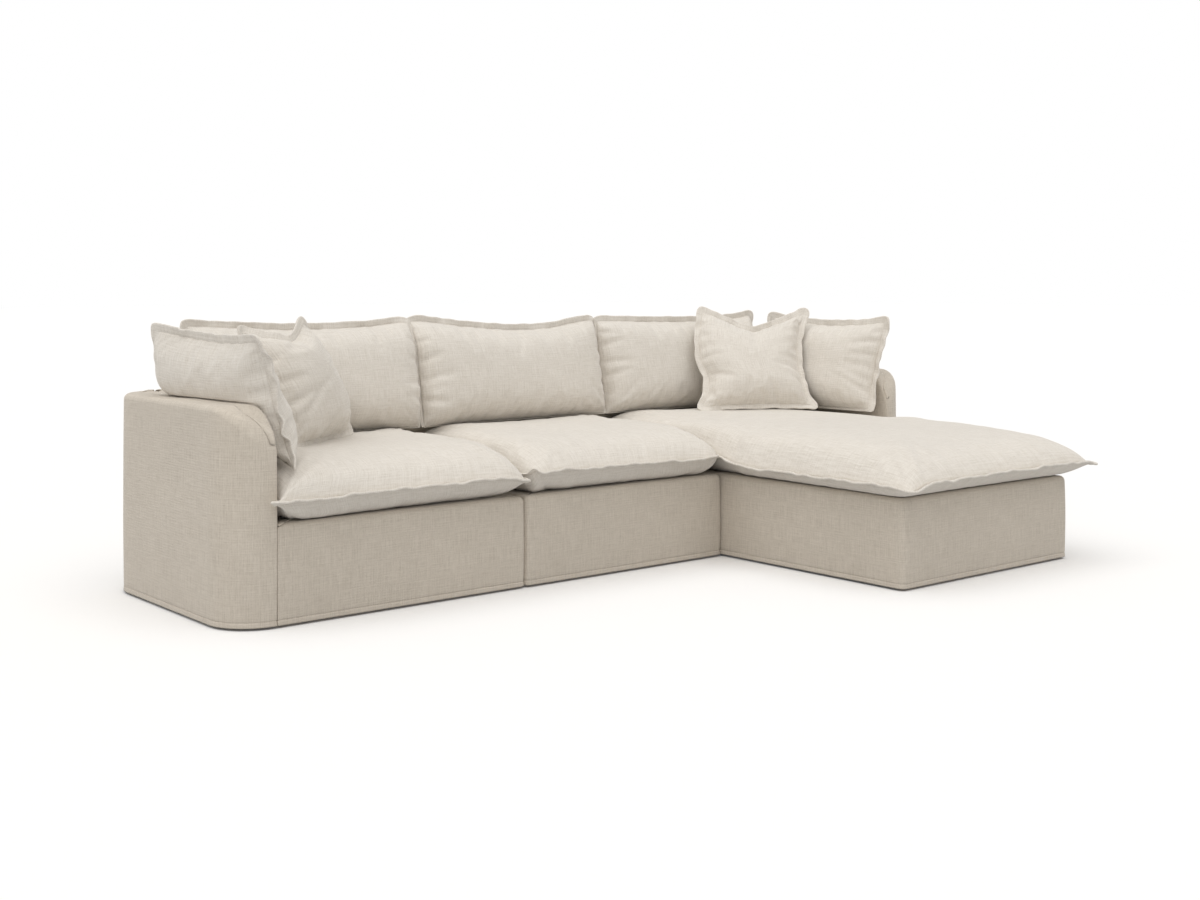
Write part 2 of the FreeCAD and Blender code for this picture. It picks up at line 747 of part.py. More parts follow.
for name, unit in units.items():
    holes = bolt_holes(unit)
    slots = [tool for edge, side in joined_edges[name] for tool in connector_slots(edge, side)]
    cuts = holes + slots
    save(name + "_seat_frame", [cut_all(piece, cuts) for piece in seat_frame(unit)])
    save(name + "_webbing", webbing(unit))
    save(name + "_deck_pad", [deck_pad(unit)])
    save(name + "_base_cover", [cut_all(base_cover(unit), cuts)])
    save(name + "_dust_cover", [dust_cover(unit)])
    save(name + "_glides", glides(unit))
    save(name + "_back_frame", [cut_all(piece, holes) for piece in back_frame(unit)])
    save(name + "_back_pad", [cut_all(back_pad(unit), holes)])
    save(name + "_back_cover", [cut_all(back_cover(unit), holes)])
    if unit["arm"]:
        save(name + "_arm_frame", [cut_all(piece, holes) for piece in arm_frame(unit["arm"])])
        save(name + "_arm_pad", [cut_all(arm_pad(unit["arm"]), holes)])
        save(name + "_arm_cover", [cut_all(arm_cover(unit["arm"]), holes)])
    fasteners = [solid for start, direction, grip in bolt_lines(unit)
                 for solid in bolt(start, direction, grip)]
    connectors = []
    for edge, side in joined_edges[name]:
        for y in connector_ys():
            flange_inner = edge - side * (cover_wall + rail_thickness + tongue_thickness)
            fasteners += screws(flange_inner, side, y)
            connectors.append(jaw(edge, side, y) if name == "middle" else tongue(edge, side, y))
    save(name + ("_connector_jaws" if name == "middle" else "_connector_tongues"), connectors)
    save(name + "_fasteners", fasteners)

# Seat cushions
seat_front = front_y - seat_overhang
seat_back = back_face_y - side_clearance
boundary_left = left_x1 + unit_gap / 2
boundary_right = middle_x1 + unit_gap / 2 - chaise_cushion_spread


def arm_space(arm):
    """The block that an arm fills, with a little room round it."""
    inner = arm["inner"] - arm["side"] * side_clearance
    outer = arm["outer"] + arm["side"] * outside_room
    return box(min(inner, outer), max(inner, outer), front_y - side_clearance, back_y, 0,
               arm_height)


left_start = left_x0 + side_clearance
left_end = boundary_left - side_clearance
left_corners = [(left_x0 - ear_reach, seat_front - seam_flange),
                (left_end, seat_front - seam_flange), (left_end, seat_back),
                (left_start, seat_back)]
left_seat = seat_cushion(seat_stations(left_start, left_end, seat_front, seat_back), left_corners,
                         [8, 0, 0, 0], [arm_space(left_arm)])
save("left_seat_cushion_cover", [left_seat[0]])
save("left_seat_cushion_insert", [left_seat[1]])

middle_start = boundary_left + side_clearance
middle_end = boundary_right - side_clearance
middle_corners = [(middle_start, seat_front - seam_flange), (middle_end, seat_front - seam_flange),
                  (middle_end, seat_back), (middle_start, seat_back)]
middle_seat = seat_cushion(seat_stations(middle_start, middle_end, seat_front, seat_back),
                           middle_corners, [8, 0, 0, 0], [])
save("middle_seat_cushion_cover", [middle_seat[0]])
save("middle_seat_cushion_insert", [middle_seat[1]])

chaise_seat_front = chaise_front_y - chaise_overhang + seam_flange
chaise_left = boundary_right + side_clearance
chaise_right = chaise_x1 - side_clearance
forward_right = chaise_x1 + chaise_side_overhang
chaise_rises = ((0, 0.02), (16, 0.22), (50, 0.40), (110, 0.56), (220, 0.72), (380, 0.86),
                (620, 0.95))
chaise_rear = seat_stations(chaise_left, chaise_right, seat_front, seat_back)
chaise_stations = [(chaise_seat_front + step, chaise_left + body_inset, forward_right, fullness)
                   for step, fullness in chaise_rises]
for y, drawn_in, fullness in ((front_y - neck_start - neck_ease, 0.15, 0.98),
                              (front_y - neck_start / 2, 1.0, 1.0),
                              (front_y + neck_start / 2, 1.0, 1.0)):
    right = forward_right + (chaise_rear[0][2] - forward_right) * drawn_in
    chaise_stations.append((y, chaise_left + body_inset, right, fullness))
chaise_stations += chaise_rear[5:]
tip_y = -total_depth / 2
chaise_corners = [(chaise_left, tip_y), (forward_right + chaise_ear, tip_y),
                  (forward_right + seam_flange, front_y - neck_start),
                  (forward_right + seam_flange, front_y - neck_end),
                  (chaise_right, front_y + neck_back),
                  (chaise_right, seat_back), (chaise_left, seat_back)]
chaise_seat = seat_cushion(chaise_stations, chaise_corners, [10, 14, 0, 0, 0, 0, 0],
                           [arm_space(right_arm)])
save("chaise_seat_cushion_cover", [chaise_seat[0]])
save("chaise_seat_cushion_insert", [chaise_seat[1]])

# Back cushions
back_spans = {"left": (left_x0 + back_side_cut, boundary_left - side_clearance),
              "middle": (boundary_left + side_clearance, boundary_right - side_clearance),
              "chaise": (boundary_right + side_clearance, chaise_x1 - back_side_cut)}
for name, (x0, x1) in back_spans.items():
    cover, insert = back_cushion(x0, x1)
    save(name + "_back_cushion_cover", [cover])
    save(name + "_back_cushion_insert", [insert])

# Side cushions and throw pillows
for name, arm in (("left", left_arm), ("right", right_arm)):
    cover, insert = side_cushion(arm)
    save(name + "_side_cushion_cover", [cover])
    save(name + "_side_cushion_insert", [insert])

left_pillow = throw_pillow(slumped_throw_height, left_x0 + left_throw_x, front_y + left_throw_y,
                           left_throw_roll, left_throw_lean, left_throw_yaw)
save("left_throw_pillow_cover", [left_pillow[0]])
save("left_throw_pillow_insert", [left_pillow[1]])
right_pillow = throw_pillow(throw_height, chaise_x0 + right_throw_x, front_y + right_throw_y, 0,
                            right_throw_lean, right_throw_yaw)
save("right_throw_pillow_cover", [right_pillow[0]])
save("right_throw_pillow_insert", [right_pillow[1]])
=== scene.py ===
"""Modular sofa with a chaise in loose linen covers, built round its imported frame.

Metres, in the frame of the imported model: X to the viewer's right, Y to the back, Z up.
"""
import math

import bmesh
import bpy
import numpy as np
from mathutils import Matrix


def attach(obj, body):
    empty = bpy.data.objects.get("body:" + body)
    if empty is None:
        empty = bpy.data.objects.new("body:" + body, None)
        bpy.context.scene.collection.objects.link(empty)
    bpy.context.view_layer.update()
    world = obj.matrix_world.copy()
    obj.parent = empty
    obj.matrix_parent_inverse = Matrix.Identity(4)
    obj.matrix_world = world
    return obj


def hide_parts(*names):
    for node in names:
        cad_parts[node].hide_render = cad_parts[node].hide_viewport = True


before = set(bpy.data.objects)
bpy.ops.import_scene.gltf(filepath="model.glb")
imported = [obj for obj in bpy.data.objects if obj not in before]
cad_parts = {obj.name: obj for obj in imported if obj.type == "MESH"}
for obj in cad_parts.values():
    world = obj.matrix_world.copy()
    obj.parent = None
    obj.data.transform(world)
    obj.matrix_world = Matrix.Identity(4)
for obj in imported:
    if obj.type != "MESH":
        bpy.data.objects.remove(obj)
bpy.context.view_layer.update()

MM = 0.001

# Studio: a seamless pale floor, a pale sky all round and one broad soft sun overhead, with the
# camera standing off the sofa's left front corner at the height of a sitter's eyes.
warm_white = (1.0, 0.985, 0.96)


def studio_camera():
    """Looks level along its own axis; the frame is shifted down so that uprights stay upright."""
    lens = bpy.data.cameras.new("camera")
    lens.sensor_width = 36.0
    lens.lens = 44.665
    lens.shift_y = -0.1379
    camera = bpy.data.objects.new("camera", lens)
    camera.location = (-3.5111, -4.0075, 1.026)
    camera.rotation_euler = (math.radians(90.0), 0.0, math.radians(-39.815))
    bpy.context.scene.collection.objects.link(camera)
    bpy.context.scene.camera = camera


def node_tools(owner):
    """Empties the nodes of a material or a world and returns a maker of new ones.

    The maker takes a node's kind, its inputs as numbers or as sockets to link, and its settings."""
    owner.use_nodes = True
    tree = owner.node_tree
    tree.nodes.clear()

    def add(kind, inputs=None, **settings):
        node = tree.nodes.new(kind)
        for key, value in settings.items():
            setattr(node, key, value)
        for key, value in (inputs or {}).items():
            if isinstance(value, bpy.types.NodeSocket):
                tree.links.new(value, node.inputs[key])
            else:
                node.inputs[key].default_value = value
        return node

    return add


def combined(add, operation, first, second):
    """One value from two, as sockets or numbers: their sum, product or maximum."""
    return add("ShaderNodeMath", {0: first, 1: second}, operation=operation).outputs[0]


def clean_background_rays(add):
    """One value that is 1 for rays that should see the plain backdrop: camera, mirror and glass."""
    path = add("ShaderNodeLightPath").outputs
    seen = path["Is Camera Ray"]
    for kind in ("Is Glossy Ray", "Is Transmission Ray"):
        seen = combined(add, "MAXIMUM", seen, path[kind])
    return seen


def studio_sky(strength):
    """A pale sky that lights evenly and is white where it is seen."""
    world = bpy.data.worlds.new("sky")
    bpy.context.scene.world = world
    add = node_tools(world)
    lighting = add("ShaderNodeBackground", {"Color": (*warm_white, 1.0), "Strength": strength})
    backdrop = add("ShaderNodeBackground", {"Color": (1.0, 1.0, 1.0, 1.0)})
    mix = add("ShaderNodeMixShader", {"Fac": clean_background_rays(add), 1: lighting.outputs[0],
                                      2: backdrop.outputs[0]})
    add("ShaderNodeOutputWorld", {"Surface": mix.outputs[0]})


def studio_floor(size, lift):
    """A flat square, seen just white so that only shadows show, and greyer to the light it returns.

    lift is the glow that brings it up to white for the rays that see it."""
    returned, shown = (0.62, 0.62, 0.62, 1.0), (0.92, 0.92, 0.925, 1.0)
    mesh = bpy.data.meshes.new("floor")
    corners = [(-size, -size, 0.0), (size, -size, 0.0), (size, size, 0.0), (-size, size, 0.0)]
    mesh.from_pydata(corners, [], [(0, 1, 2, 3)])
    floor = bpy.data.objects.new("floor", mesh)
    bpy.context.scene.collection.objects.link(floor)
    paint = bpy.data.materials.new("pale_floor")
    add = node_tools(paint)
    seen = clean_background_rays(add)
    tone = add("ShaderNodeMix", {"Factor": seen, "A": returned, "B": shown}, data_type="RGBA")
    matt = add("ShaderNodeBsdfDiffuse", {"Color": tone.outputs["Result"]})
    glow = add("ShaderNodeEmission", {"Color": (1.0, 1.0, 1.0, 1.0),
                                      "Strength": combined(add, "MULTIPLY", seen, lift)})
    both = add("ShaderNodeAddShader", {0: matt.outputs[0], 1: glow.outputs[0]})
    add("ShaderNodeOutputMaterial", {"Surface": both.outputs[0]})
    mesh.materials.append(paint)


def soft_sun(name, away, strength, spread):
    """A sun with a very wide disc: it lights the whole floor alike and its shadows are soft.

    away is the way to the sun, and spread its disc's width in degrees."""
    data = bpy.data.lights.new(name, "SUN")
    data.energy = strength
    data.angle = math.radians(spread)
    data.color = warm_white
    lamp = bpy.data.objects.new(name, data)
    turn = math.atan2(away[0], -away[1])
    lamp.rotation_euler = (math.atan2(math.hypot(away[0], away[1]), away[2]), 0.0, turn)
    bpy.context.scene.collection.objects.link(lamp)


studio_camera()
studio_sky(0.56)
studio_floor(60.0, 0.04)
soft_sun("overhead_sun", (-0.30, -0.22, 1.0), 1.75, 90.0)
bpy.context.scene.view_settings.view_transform = "Standard"


# Hidden frame: sawn softwood and plywood under the covers, glued and bolted, with a woven
# elastic deck, zinc-plated bolts and hooks, black non-woven cloth below and plastic glides.
def ramp(add, fac, stops):
    """A colour ramp over fac with stops of (place, colour)."""
    node = add("ShaderNodeValToRGB", {"Fac": fac})
    band = node.color_ramp
    while len(band.elements) < len(stops):
        band.elements.new(0.5)
    for element, (place, colour) in zip(band.elements, stops):
        element.position = place
        element.color = (*colour, 1.0)
    return node.outputs["Color"]


def stretched_noise(add, vector, scale, detail=2.0, roughness=0.5):
    """Noise on a vector that is first stretched by scale = (x, y, z)."""
    mapping = add("ShaderNodeMapping", {"Vector": vector, "Scale": scale})
    noise = add("ShaderNodeTexNoise", {"Vector": mapping.outputs[0], "Scale": 1.0,
                                       "Detail": detail, "Roughness": roughness})
    return noise.outputs["Fac"]


def graded(add, value, low, high):
    """The range 0 to 1 of value mapped onto low to high."""
    return add("ShaderNodeMapRange", {"Value": value, "To Min": low, "To Max": high}).outputs[0]


def surface(add, colour, roughness, height, bump, reach, **sockets):
    """A principled surface with bump from height; sockets are set as plain numbers on it."""
    relief = add("ShaderNodeBump", {"Height": height, "Strength": bump, "Distance": reach})
    plain = {key.replace("_", " "): value for key, value in sockets.items()}
    shader = add("ShaderNodeBsdfPrincipled", {"Base Color": colour, "Roughness": roughness,
                                              "Normal": relief.outputs[0], **plain})
    add("ShaderNodeOutputMaterial", {"Surface": shader.outputs[0]})


def on_object(name):
    """A new material, the maker of its nodes and its object coordinates."""
    material = bpy.data.materials.new(name)
    add = node_tools(material)
    return material, add, add("ShaderNodeTexCoord").outputs["Object"]


def timber():
    """Sawn board: long pale and brown grain streaks along Y with finer fibres over them."""
    material, add, place = on_object("sawn_timber")
    grain = stretched_noise(add, place, (45.0, 2.5, 45.0), 6.0, 0.6)
    fibre = stretched_noise(add, place, (600.0, 18.0, 600.0), 3.0, 0.6)
    both = combined(add, "ADD", grain, fibre)
    colour = ramp(add, combined(add, "MULTIPLY", both, 0.5),
                  [(0.30, (0.36, 0.22, 0.11)), (0.5, (0.55, 0.38, 0.21)),
                   (0.72, (0.68, 0.51, 0.32))])
    surface(add, colour, graded(add, fibre, 0.55, 0.85), both, 0.35, 0.0006)
    return material


def elastic_webbing():
    """Brown strap: ribs of rubber thread side by side over a worn, mottled ground."""
    material, add, place = on_object("elastic_webbing")
    ribs = add("ShaderNodeTexWave", {"Vector": place, "Scale": 55.0, "Distortion": 0.3,
                                     "Detail": 1.0}, bands_direction="DIAGONAL").outputs["Fac"]
    worn = stretched_noise(add, place, (30.0, 30.0, 30.0), 4.0)
    colour = ramp(add, combined(add, "MULTIPLY", ribs, worn),
                  [(0.1, (0.07, 0.05, 0.035)), (0.7, (0.17, 0.12, 0.085))])
    surface(add, colour, graded(add, worn, 0.7, 0.95), ribs, 0.5, 0.0008)
    return material


def black_nonwoven():
    """Thin black cloth pressed from fibres, with a dimple grid from the hot roller."""
    material, add, place = on_object("black_nonwoven")
    fibres = stretched_noise(add, place, (420.0, 420.0, 420.0), 4.0, 0.7)
    dimples = add("ShaderNodeTexVoronoi", {"Vector": place, "Scale": 500.0,
                                           "Randomness": 0.15}).outputs["Distance"]
    colour = ramp(add, fibres, [(0.3, (0.006, 0.006, 0.007)), (0.7, (0.022, 0.022, 0.024))])
    surface(add, colour, graded(add, fibres, 0.7, 0.95), dimples, 0.4, 0.0004)
    return material


def moulded_plastic():
    """Black moulded glide: near-smooth, with a faint spark-eroded grain and rubbed patches."""
    material, add, place = on_object("glide_plastic")
    grain = stretched_noise(add, place, (900.0, 900.0, 900.0), 2.0)
    rubbed = stretched_noise(add, place, (25.0, 25.0, 25.0), 4.0)
    colour = ramp(add, rubbed, [(0.35, (0.008, 0.008, 0.008)), (0.75, (0.03, 0.03, 0.031))])
    surface(add, colour, graded(add, rubbed, 0.35, 0.6), grain, 0.15, 0.0003)
    return material


def zinc_steel():
    """Zinc-plated steel: pale bluish spangle, warmer in places, with fine scratches."""
    material, add, place = on_object("zinc_steel")
    spangle = add("ShaderNodeTexVoronoi", {"Vector": place, "Scale": 260.0}).outputs["Distance"]
    scratches = stretched_noise(add, place, (60.0, 1400.0, 900.0), 2.0)
    colour = ramp(add, spangle, [(0.1, (0.50, 0.51, 0.53)), (0.6, (0.63, 0.63, 0.62))])
    surface(add, colour, graded(add, scratches, 0.25, 0.48), scratches, 0.12, 0.0002, Metallic=1.0)
    return material


wood, steel = timber(), zinc_steel()
hidden_finishes = {
    "seat_frame": wood, "back_frame": wood, "arm_frame": wood, "fasteners": steel,
    "connector_tongues": steel, "connector_jaws": steel, "webbing": elastic_webbing(),
    "dust_cover": black_nonwoven(), "glides": moulded_plastic()}
for node_name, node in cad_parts.items():
    for ending, finish in hidden_finishes.items():
        if node_name.endswith(ending):
            node.data.materials.clear()
            node.data.materials.append(finish)


# Slipcovers: each unit's base, back and arm wears a fitted cover of slub linen over foam. The
# panels are sewn at the corners, and the hem is turned up and topstitched just off the floor.
def linen(name, pale, dark, shade, sheen):
    """Plain-woven slub linen on the cover's own map in metres, warp along V and weft along U.

    Threads are two crossed rows of bands 1.3 mm apart, and slubs are noise drawn out 20 to 40
    times along each thread direction. Their sum mixes dark and pale and lifts the bump. Slow
    noise adds handling marks and shade is how much they darken."""
    material = bpy.data.materials.new(name)
    add = node_tools(material)
    cloth = add("ShaderNodeUVMap", uv_map="weave").outputs["UV"]
    warp_slub = stretched_noise(add, cloth, (300.0, 13.0, 1.0), 3.0, 0.62)
    weft_slub = stretched_noise(add, cloth, (11.0, 260.0, 1.0), 3.0, 0.62)
    warp_fine = stretched_noise(add, cloth, (760.0, 60.0, 1.0), 2.0, 0.5)
    weft_fine = stretched_noise(add, cloth, (55.0, 700.0, 1.0), 2.0, 0.5)
    speck = stretched_noise(add, cloth, (210.0, 210.0, 1.0), 2.0, 0.7)
    drift = stretched_noise(add, cloth, (2.6, 2.2, 1.0), 3.0, 0.55)

    def bands(direction):
        node = add("ShaderNodeTexWave", {"Vector": cloth, "Scale": 38.0, "Distortion": 1.2,
                                         "Detail": 1.0, "Detail Scale": 4.0},
                   bands_direction=direction)
        return node.outputs["Fac"]

    def total(first, second, share):
        return combined(add, "ADD", first, combined(add, "MULTIPLY", second, share))

    slubs = warp_slub
    for layer, share in ((weft_slub, 0.8), (warp_fine, 0.55), (weft_fine, 0.5), (speck, 0.35)):
        slubs = total(slubs, layer, share)
    level = add("ShaderNodeMapRange", {"Value": slubs, "From Min": 1.30,
                                       "From Max": 1.90}).outputs[0]
    threads = total(bands("X"), bands("Y"), 1.0)
    level = total(level, threads, 0.05)
    between = tuple(0.5 * (a + b) for a, b in zip(dark, pale))
    colour = ramp(add, level, [(0.0, dark), (0.45, between), (1.0, pale)])
    marks = add("ShaderNodeMapRange", {"Value": drift, "From Min": 0.3, "From Max": 0.7,
                                       "To Min": 1.0 - shade, "To Max": 1.0 + shade}).outputs[0]
    toned = add("ShaderNodeVectorMath", {0: colour, "Scale": marks}, operation="SCALE").outputs[0]
    height = total(slubs, threads, 0.35)
    rough = add("ShaderNodeMapRange", {"Value": slubs, "From Min": 1.2, "From Max": 2.0,
                                       "To Min": 0.97, "To Max": 0.80}).outputs[0]
    surface(add, toned, rough, height, 0.55, 0.0009,
            Sheen_Weight=sheen, Sheen_Roughness=0.45, Specular_IOR_Level=0.25)
    return material


def thread_material():
    """Twisted sewing thread, a shade paler than the cloth, with its ply as fine bands."""
    material, add, place = on_object("sewing_thread")
    ply = stretched_noise(add, place, (1500.0, 1500.0, 1500.0), 1.0)
    colour = ramp(add, ply, [(0.3, (0.46, 0.41, 0.34)), (0.7, (0.66, 0.61, 0.53))])
    surface(add, colour, graded(add, ply, 0.5, 0.7), ply, 0.3, 0.0003, Sheen_Weight=0.2)
    return material


cover_linen = linen("cover_linen", (0.675, 0.615, 0.535), (0.51, 0.455, 0.385), 0.03, 0.25)
sewing_thread = thread_material()


def ripple(x, seed, lengths, y=None):
    """Uneven cloth: a sum of sines of the given wavelengths with seeded phases, from -1 to 1.

    With y given, each sine runs in its own seeded direction over the plane."""
    dice = np.random.default_rng(seed)
    total = np.zeros(np.broadcast(x, 0.0 if y is None else y).shape)
    for length in lengths:
        phase, turn = dice.uniform(0.0, 2.0 * math.pi, 2)
        along = x if y is None else x * math.cos(turn) + y * math.sin(turn)
        total = total + np.sin(2.0 * math.pi * along / length + phase)
    return total / len(lengths)


def grid_faces(rows, columns, closed):
    """Quads of a rows by columns grid of points, wrapping round along the columns when closed."""
    across = columns if closed else columns - 1
    i, j = np.meshgrid(np.arange(rows - 1), np.arange(across), indexing="ij")
    i, j = i.ravel(), j.ravel()
    k = (j + 1) % columns
    return np.stack([i * columns + j, i * columns + k,
                     (i + 1) * columns + k, (i + 1) * columns + j], 1)


def smooth_object(name, points, faces, material, weave=None):
    """An object from points and faces of equal corner counts, shaded smooth.

    weave is its cloth's map in metres, one place for each corner of each face."""
    mesh = bpy.data.meshes.new(name)
    mesh.vertices.add(len(points))
    mesh.vertices.foreach_set("co", np.asarray(points, np.float32).ravel())
    mesh.loops.add(faces.size)
    mesh.loops.foreach_set("vertex_index", faces.ravel().astype(np.int32))
    mesh.polygons.add(len(faces))
    starts = np.arange(0, faces.size, faces.shape[1], dtype=np.int32)
    mesh.polygons.foreach_set("loop_start", starts)
    mesh.polygons.foreach_set("use_smooth", np.ones(len(faces), bool))
    if weave is not None:
        layer = mesh.uv_layers.new(name="weave")
        layer.data.foreach_set("uv", np.asarray(weave, np.float32).ravel())
    mesh.materials.append(material)
    mesh.update(calc_edges=True)
    mesh.validate()
    piece = bpy.data.objects.new(name, mesh)
    bpy.context.scene.collection.objects.link(piece)
    return piece


def merge_doubles(piece, distance):
    """Joins points closer than distance and drops the faces that this leaves flat."""
    work = bmesh.new()
    work.from_mesh(piece.data)
    bmesh.ops.remove_doubles(work, verts=work.verts, dist=distance)
    bmesh.ops.dissolve_degenerate(work, edges=work.edges, dist=distance * 0.5)
    work.to_mesh(piece.data)
    work.free()


def stitch_row(points, outward, pitch, length, thickness):
    """Stitches along a closed or open line: small eight-sided lenses, one each pitch.

    points is the line, outward the side that each stitch lies on. Each lens runs along the line
    and has a pointed end, a ring of four points at its middle and a pointed end again."""
    step = np.linalg.norm(np.diff(points, axis=0), axis=1)
    run = np.concatenate([[0.0], np.cumsum(step)])
    count = max(1, int(run[-1] / pitch))
    middle = (np.arange(count) + 0.5) * run[-1] / count

    def at(distance, values):
        return np.stack([np.interp(distance, run, values[:, k]) for k in range(3)], 1)

    start, end = at(middle - length / 2, points), at(middle + length / 2, points)
    side = at(middle, outward)
    side /= np.linalg.norm(side, axis=1, keepdims=True) + 1e-12
    along = end - start
    across = np.cross(along, side)
    across /= np.linalg.norm(across, axis=1, keepdims=True) + 1e-12
    centre = 0.5 * (start + end)
    ring = [centre + side * thickness, centre + across * thickness * 0.8,
            centre - side * thickness * 0.4, centre - across * thickness * 0.8]
    dots = np.stack([start, *ring, end], 1)
    pattern = np.array([[0, 2, 1], [0, 3, 2], [0, 4, 3], [0, 1, 4],
                        [5, 1, 2], [5, 2, 3], [5, 3, 4], [5, 4, 1]])
    faces = (np.arange(count)[:, None, None] * dots.shape[1] + pattern).reshape(-1, 3)
    return dots.reshape(-1, 3), faces


def stitches(name, rows, body):
    """One object of thread from several stitch rows, riding on a body."""
    points, faces, offset = [], [], 0
    for dots, triangles in rows:
        points.append(dots)
        faces.append(triangles + offset)
        offset += len(dots)
    thread = smooth_object(name, np.concatenate(points), np.concatenate(faces), sewing_thread)
    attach(thread, body)


def plan_outline(low, high, radii, step):
    """A rectangle's outline with a radius at each corner, as points, outward directions and run.

    Corners are in the order left front, right front, right back, left back. Straight runs are cut
    every step, and each corner is an arc of twelve points."""
    (x0, y0), (x1, y1) = low, high
    centres = [(x0 + radii[0], y0 + radii[0]), (x1 - radii[1], y0 + radii[1]),
               (x1 - radii[2], y1 - radii[2]), (x0 + radii[3], y1 - radii[3])]
    starts = [math.pi, 1.5 * math.pi, 0.0, 0.5 * math.pi]
    points, outward = [], []
    for k in range(4):
        turn = starts[k] + np.linspace(0.0, 0.5 * math.pi, 12)
        facing = np.stack([np.cos(turn), np.sin(turn)], 1)
        arc = np.array(centres[k]) + radii[k] * facing
        following = (k + 1) % 4
        meet = np.array(centres[following]) + radii[following] * facing[-1]
        gap = np.linalg.norm(meet - arc[-1])
        inner = np.linspace(0.0, 1.0, max(2, int(gap / step)) + 1)[1:-1, None]
        run = arc[-1] + (meet - arc[-1]) * inner
        points += [arc, run]
        outward += [facing, np.repeat(facing[-1:], len(run), 0)]
    points, outward = np.concatenate(points), np.concatenate(outward)
    around = np.linalg.norm(np.roll(points, -1, 0) - points, axis=1)
    return points, outward, np.concatenate([[0.0], np.cumsum(around)])


def slipcover(unit, part, low, high, radii, top, edge, loose, seed):
    """A fitted cover as rows of points that follow its plan outline from the hem to the middle.

    The wall rises from the hem, bows out by loose where its face is free, and turns in over a
    quarter circle of radius edge. Then the top draws in to the block's middle line. top gives
    the height over any point of the plan. radii are the corners' and loose the sides', both
    anticlockwise from the front left. The stitch line tucks the hem in, and it flares below."""
    low, high = np.array(low) * MM, np.array(high) * MM
    radii = [radius * MM for radius in radii]
    edge, hem, stitch, inset = edge * MM, 8.0 * MM, 24.0 * MM, 0.6 * MM
    tuck, tuck_half, flare_out, upper_wall = 1.8 * MM, 1.6 * MM, 1.2 * MM, 22
    outline, outward, run = plan_outline(low, high, radii, 14.0 * MM)
    half = 0.5 * min(high - low)
    spine_low, spine_high = low + half, high - half
    spine = np.clip(outline, np.minimum(spine_low, spine_high), np.maximum(spine_low, spine_high))
    columns = len(outline)
    around = run[:-1]
    free = np.array([loose[0 if o[1] < -0.5 else 1 if o[0] > 0.5 else 2 if o[1] > 0.5 else 3]
                     for o in outward]) * MM
    free = np.minimum(free, np.roll(free, 2))
    free = np.minimum(free, np.roll(free, -2))
    hem_steps = [0.0, 3.0, 8.0, 13.0, 15.0, 16.0, 17.0, 19.0, 24.0]
    stitched = hem_steps.index(16.0)
    foot = np.concatenate([hem_steps, np.linspace(34.0, 100.0, 6)]) * MM
    rows, heights = [], []

    def height_at(plan):
        return top(plan[:, 0] / MM, plan[:, 1] / MM) * MM

    wall_top = height_at(outline - outward * inset) - edge
    levels = [hem + step * np.ones(columns) for step in foot]
    levels += [hem + foot[-1] + share * (wall_top - hem - foot[-1])
               for share in np.linspace(0.06, 1.0, upper_wall)]
    for z in levels:
        climbed = np.clip((z - hem) / (wall_top - hem), 0.0, 1.0)
        bow = np.sin(math.pi * climbed) ** 0.8
        wave = ripple(around, seed, (0.62, 0.41, 0.27, 0.9), z * 1.3)
        out = free * (0.75 * bow + 0.35 * wave * bow) - inset * (1.0 - bow)
        groove = np.exp(-((z - stitch) / tuck_half) ** 2)
        flare = np.clip((stitch - z) / (stitch - hem), 0.0, 1.0)
        out = out - tuck * groove + flare_out * flare * (free > 0)
        rows.append(outline + outward * out[:, None])
        heights.append(z)
    for turn in np.linspace(0.0, 0.5 * math.pi, 8)[1:]:
        plan = outline - outward * (edge * (1.0 - math.cos(turn)) + inset)
        rows.append(plan)
        heights.append(height_at(plan) - edge * (1.0 - math.sin(turn)))
    shoulder_line = rows[-1]
    sink, crown_height = 0.4 * MM, 3.0 * MM
    for share in (0.04, 0.09, 0.16, 0.25, 0.37, 0.5, 0.66, 0.83, 1.0):
        plan = shoulder_line + (spine - shoulder_line) * share
        crown = crown_height * min(1.0, share * 2.5)
        wave = ripple(plan[:, 0], seed + 5, (0.35, 0.22), plan[:, 1])
        rows.append(plan)
        heights.append(height_at(plan) - sink + crown * 0.3 * wave)
    rows, heights = np.array(rows), np.array(heights)
    points = np.concatenate([rows, heights[:, :, None]], 2)
    steps = np.linalg.norm(np.diff(points, axis=0), axis=2)
    climb = np.concatenate([np.zeros((1, columns)), np.cumsum(steps, 0)])
    faces = grid_faces(len(rows), columns, True)
    columns_u = np.broadcast_to(run, (len(rows), columns + 1))
    columns_v = np.concatenate([climb, climb[:, :1]], 1)
    wide = grid_faces(len(rows), columns + 1, False)
    weave = np.stack([columns_u.ravel()[wide], columns_v.ravel()[wide]], 2)
    name, body = f"{unit}_{part}_slipcover", unit + "_unit"
    piece = smooth_object(name, points.reshape(-1, 3), faces, cover_linen, weave)
    merge_doubles(piece, 0.05 * MM)
    solid = piece.modifiers.new("cloth_thickness", "SOLIDIFY")
    solid.thickness = 2.4 * MM
    solid.offset = -1.0
    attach(piece, body)
    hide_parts(f"{unit}_{part}_cover", f"{unit}_{'deck' if part == 'base' else part}_pad")
    line = np.concatenate([points[stitched], points[stitched, :1]])
    facing = np.concatenate([outward, outward[:1]])
    facing = np.concatenate([facing, np.zeros((columns + 1, 1))], 1)
    stitches(name + "_hem_stitches", [stitch_row(line, facing, 7.0 * MM, 4.6 * MM, 0.7 * MM)],
             body)


def flat_top(height):
    """The same height everywhere."""
    return lambda x, y: np.full(np.shape(x), height)


def arm_top(height, front, radius):
    """Level, then turned down in a quarter circle over the last radius before the front."""
    def top(x, y):
        near = np.clip(front + radius - y, 0.0, radius - 0.5)
        return height - radius + np.sqrt(radius ** 2 - near ** 2)
    return top


